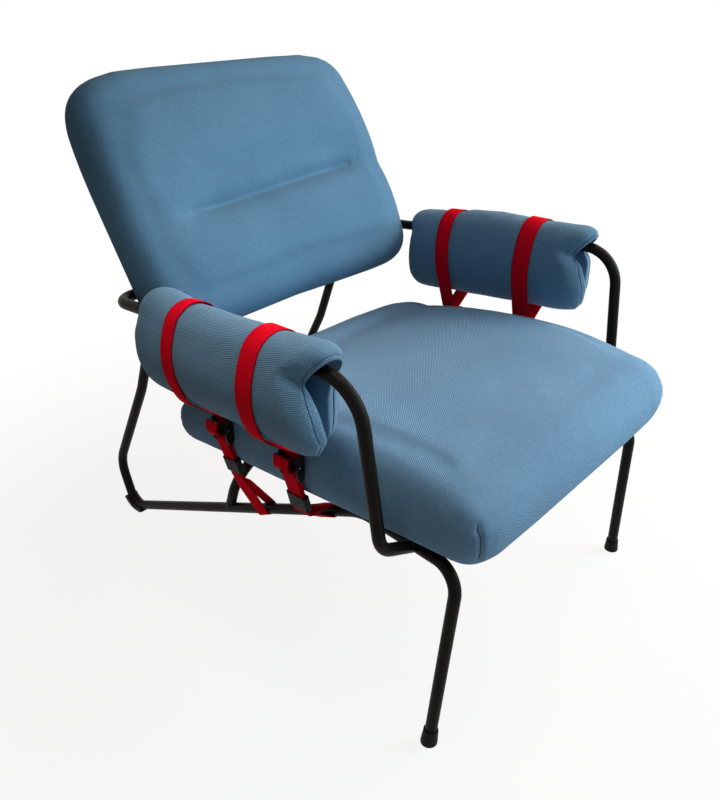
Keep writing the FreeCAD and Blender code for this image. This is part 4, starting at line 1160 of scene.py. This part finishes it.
# The close, thick, dark line along each seam is painted shadow in its groove; the fine stitches are thread
SEAM_SHADOW_LINE = {"Pitch": 0.0016, "Stitch length": 0.0040, "Thread radius": 0.0006}
SEAM_STITCH = {"Pitch": 0.0036, "Stitch length": 0.0027, "Thread radius": 0.00035}
lifted = [calmed(laid_on(path, mesh, SEAM_LIFT)) for mesh, path in seams]
stitched("seam_shadow_lines", lifted, seam_shadow_thread, SEAM_SHADOW_LINE)
stitched("seam_stitches", lifted, blue_thread, SEAM_STITCH)


# Floor, light and camera

FLOOR_HALF = 8.0
# How white the camera sees the floor, from the chair's shadow outwards
FLOOR_FADE = {"From Min": 0.5, "From Max": 1.3, "To Min": 0.86, "To Max": 1.0}
WORLD_COLOUR = (1.0, 0.84, 0.70, 1)
WORLD_STRENGTH = 0.09
CHAIR_MIDDLE = (0, -0.1, 0.45)
CAMERA_PLACE = (-0.9163, -0.8213, 0.9708)
CAMERA_DOWN = 28.54
CAMERA_TURN = -48.185
CAMERA_LENS = 34.875
CAMERA_SENSOR = 36.0


def seen_directly(tree):
    """1 for rays from the camera, off gloss or through glass, which see the white ground."""
    path = add(tree, "LightPath")
    total = path["Is Camera Ray"]
    for ray in ("Is Glossy Ray", "Is Transmission Ray"):
        total = add(tree, "Math", {0: total, 1: path[ray]}, operation="MAXIMUM")["Value"]
    return total


def pale_floor():
    """White paper to the camera, with the chair's shadow on it, fading to plain white further off."""
    material, tree, shader = new_finish("pale_floor")
    set_sockets(shader, {"Base Color": (0.85, 0.85, 0.85, 1), "Roughness": 0.95, "Specular IOR Level": 0.0})
    away = over_object(tree, "VectorMath", operation="LENGTH")["Value"]
    fade = add(tree, "MapRange", {"Value": away, **FLOOR_FADE}, interpolation_type="SMOOTHSTEP")["Result"]
    share = add(tree, "Math", {0: fade, 1: seen_directly(tree)}, operation="MULTIPLY")["Value"]
    white = add(tree, "Emission")["Emission"]
    mixed = add(tree, "MixShader", {"Fac": share, 1: shader.outputs["BSDF"], 2: white})["Shader"]
    set_sockets(tree.nodes["Material Output"], {"Surface": mixed})
    return material


def studio_floor():
    mesh = bpy.data.meshes.new("studio_floor")
    corners = [(x * FLOOR_HALF, y * FLOOR_HALF, 0) for x, y in ((-1, -1), (1, -1), (1, 1), (-1, 1))]
    mesh.from_pydata(corners, [], [(0, 1, 2, 3)])
    floor = bpy.data.objects.new("studio_floor", mesh)
    bpy.context.scene.collection.objects.link(floor)
    mesh.materials.append(pale_floor())


def studio_world():
    """Faint warm light from all round, and a white ground for what the camera sees."""
    world = bpy.data.worlds.new("studio_world")
    bpy.context.scene.world = world
    world.use_nodes = True
    tree = world.node_tree
    light = tree.nodes["Background"]
    set_sockets(light, {"Color": WORLD_COLOUR, "Strength": WORLD_STRENGTH})
    white = add(tree, "Background", {"Color": (1, 1, 1, 1)})["Background"]
    choice = {"Fac": seen_directly(tree), 1: light.outputs["Background"], 2: white}
    set_sockets(tree.nodes["World Output"], {"Surface": add(tree, "MixShader", choice)["Shader"]})


def lamp(name, place, target, size, power, colour, spread=180):
    """A round lamp aimed at a target. The spread is in degrees."""
    data = bpy.data.lights.new(name, "AREA")
    data.shape = "DISK"
    data.size = size
    data.energy = power
    data.color = colour
    data.spread = math.radians(spread)
    light = bpy.data.objects.new(name, data)
    light.location = place
    light.rotation_euler = (Vector(target) - Vector(place)).to_track_quat("-Z", "Y").to_euler()
    bpy.context.scene.collection.objects.link(light)


def camera():
    data = bpy.data.cameras.new("photo_camera")
    data.lens = CAMERA_LENS
    data.sensor_width = CAMERA_SENSOR
    data.sensor_fit = "AUTO"
    eye = bpy.data.objects.new("photo_camera", data)
    eye.location = CAMERA_PLACE
    eye.rotation_euler = (math.radians(90 - CAMERA_DOWN), 0, math.radians(CAMERA_TURN))
    bpy.context.scene.collection.objects.link(eye)
    bpy.context.scene.camera = eye


studio_floor()
studio_world()
lamp("key_light", (1.25, -1.35, 1.10), CHAIR_MIDDLE, size=1.0, power=31, colour=(0.66, 0.88, 1.0))
lamp("side_light", (1.8, -0.6, 1.6), CHAIR_MIDDLE, size=1.2, power=25, colour=(1.0, 0.74, 0.50))
lamp("top_light", (0.6, -0.5, 2.3), (0, 0, 0.4), size=1.4, power=12, colour=(1.0, 0.86, 0.80))
lamp("near_light", (-0.5, -1.2, 1.6), (-0.3, -0.1, 0.5), size=0.7, power=2.6, colour=(0.62, 0.9, 1.0))
lamp("near_top", (-0.42, -0.14, 1.55), (-0.35, -0.08, 0.55), size=0.3, power=0.4,
     colour=(1.0, 0.95, 0.88), spread=45)
camera()
bpy.context.scene.view_settings.view_transform = "Standard"
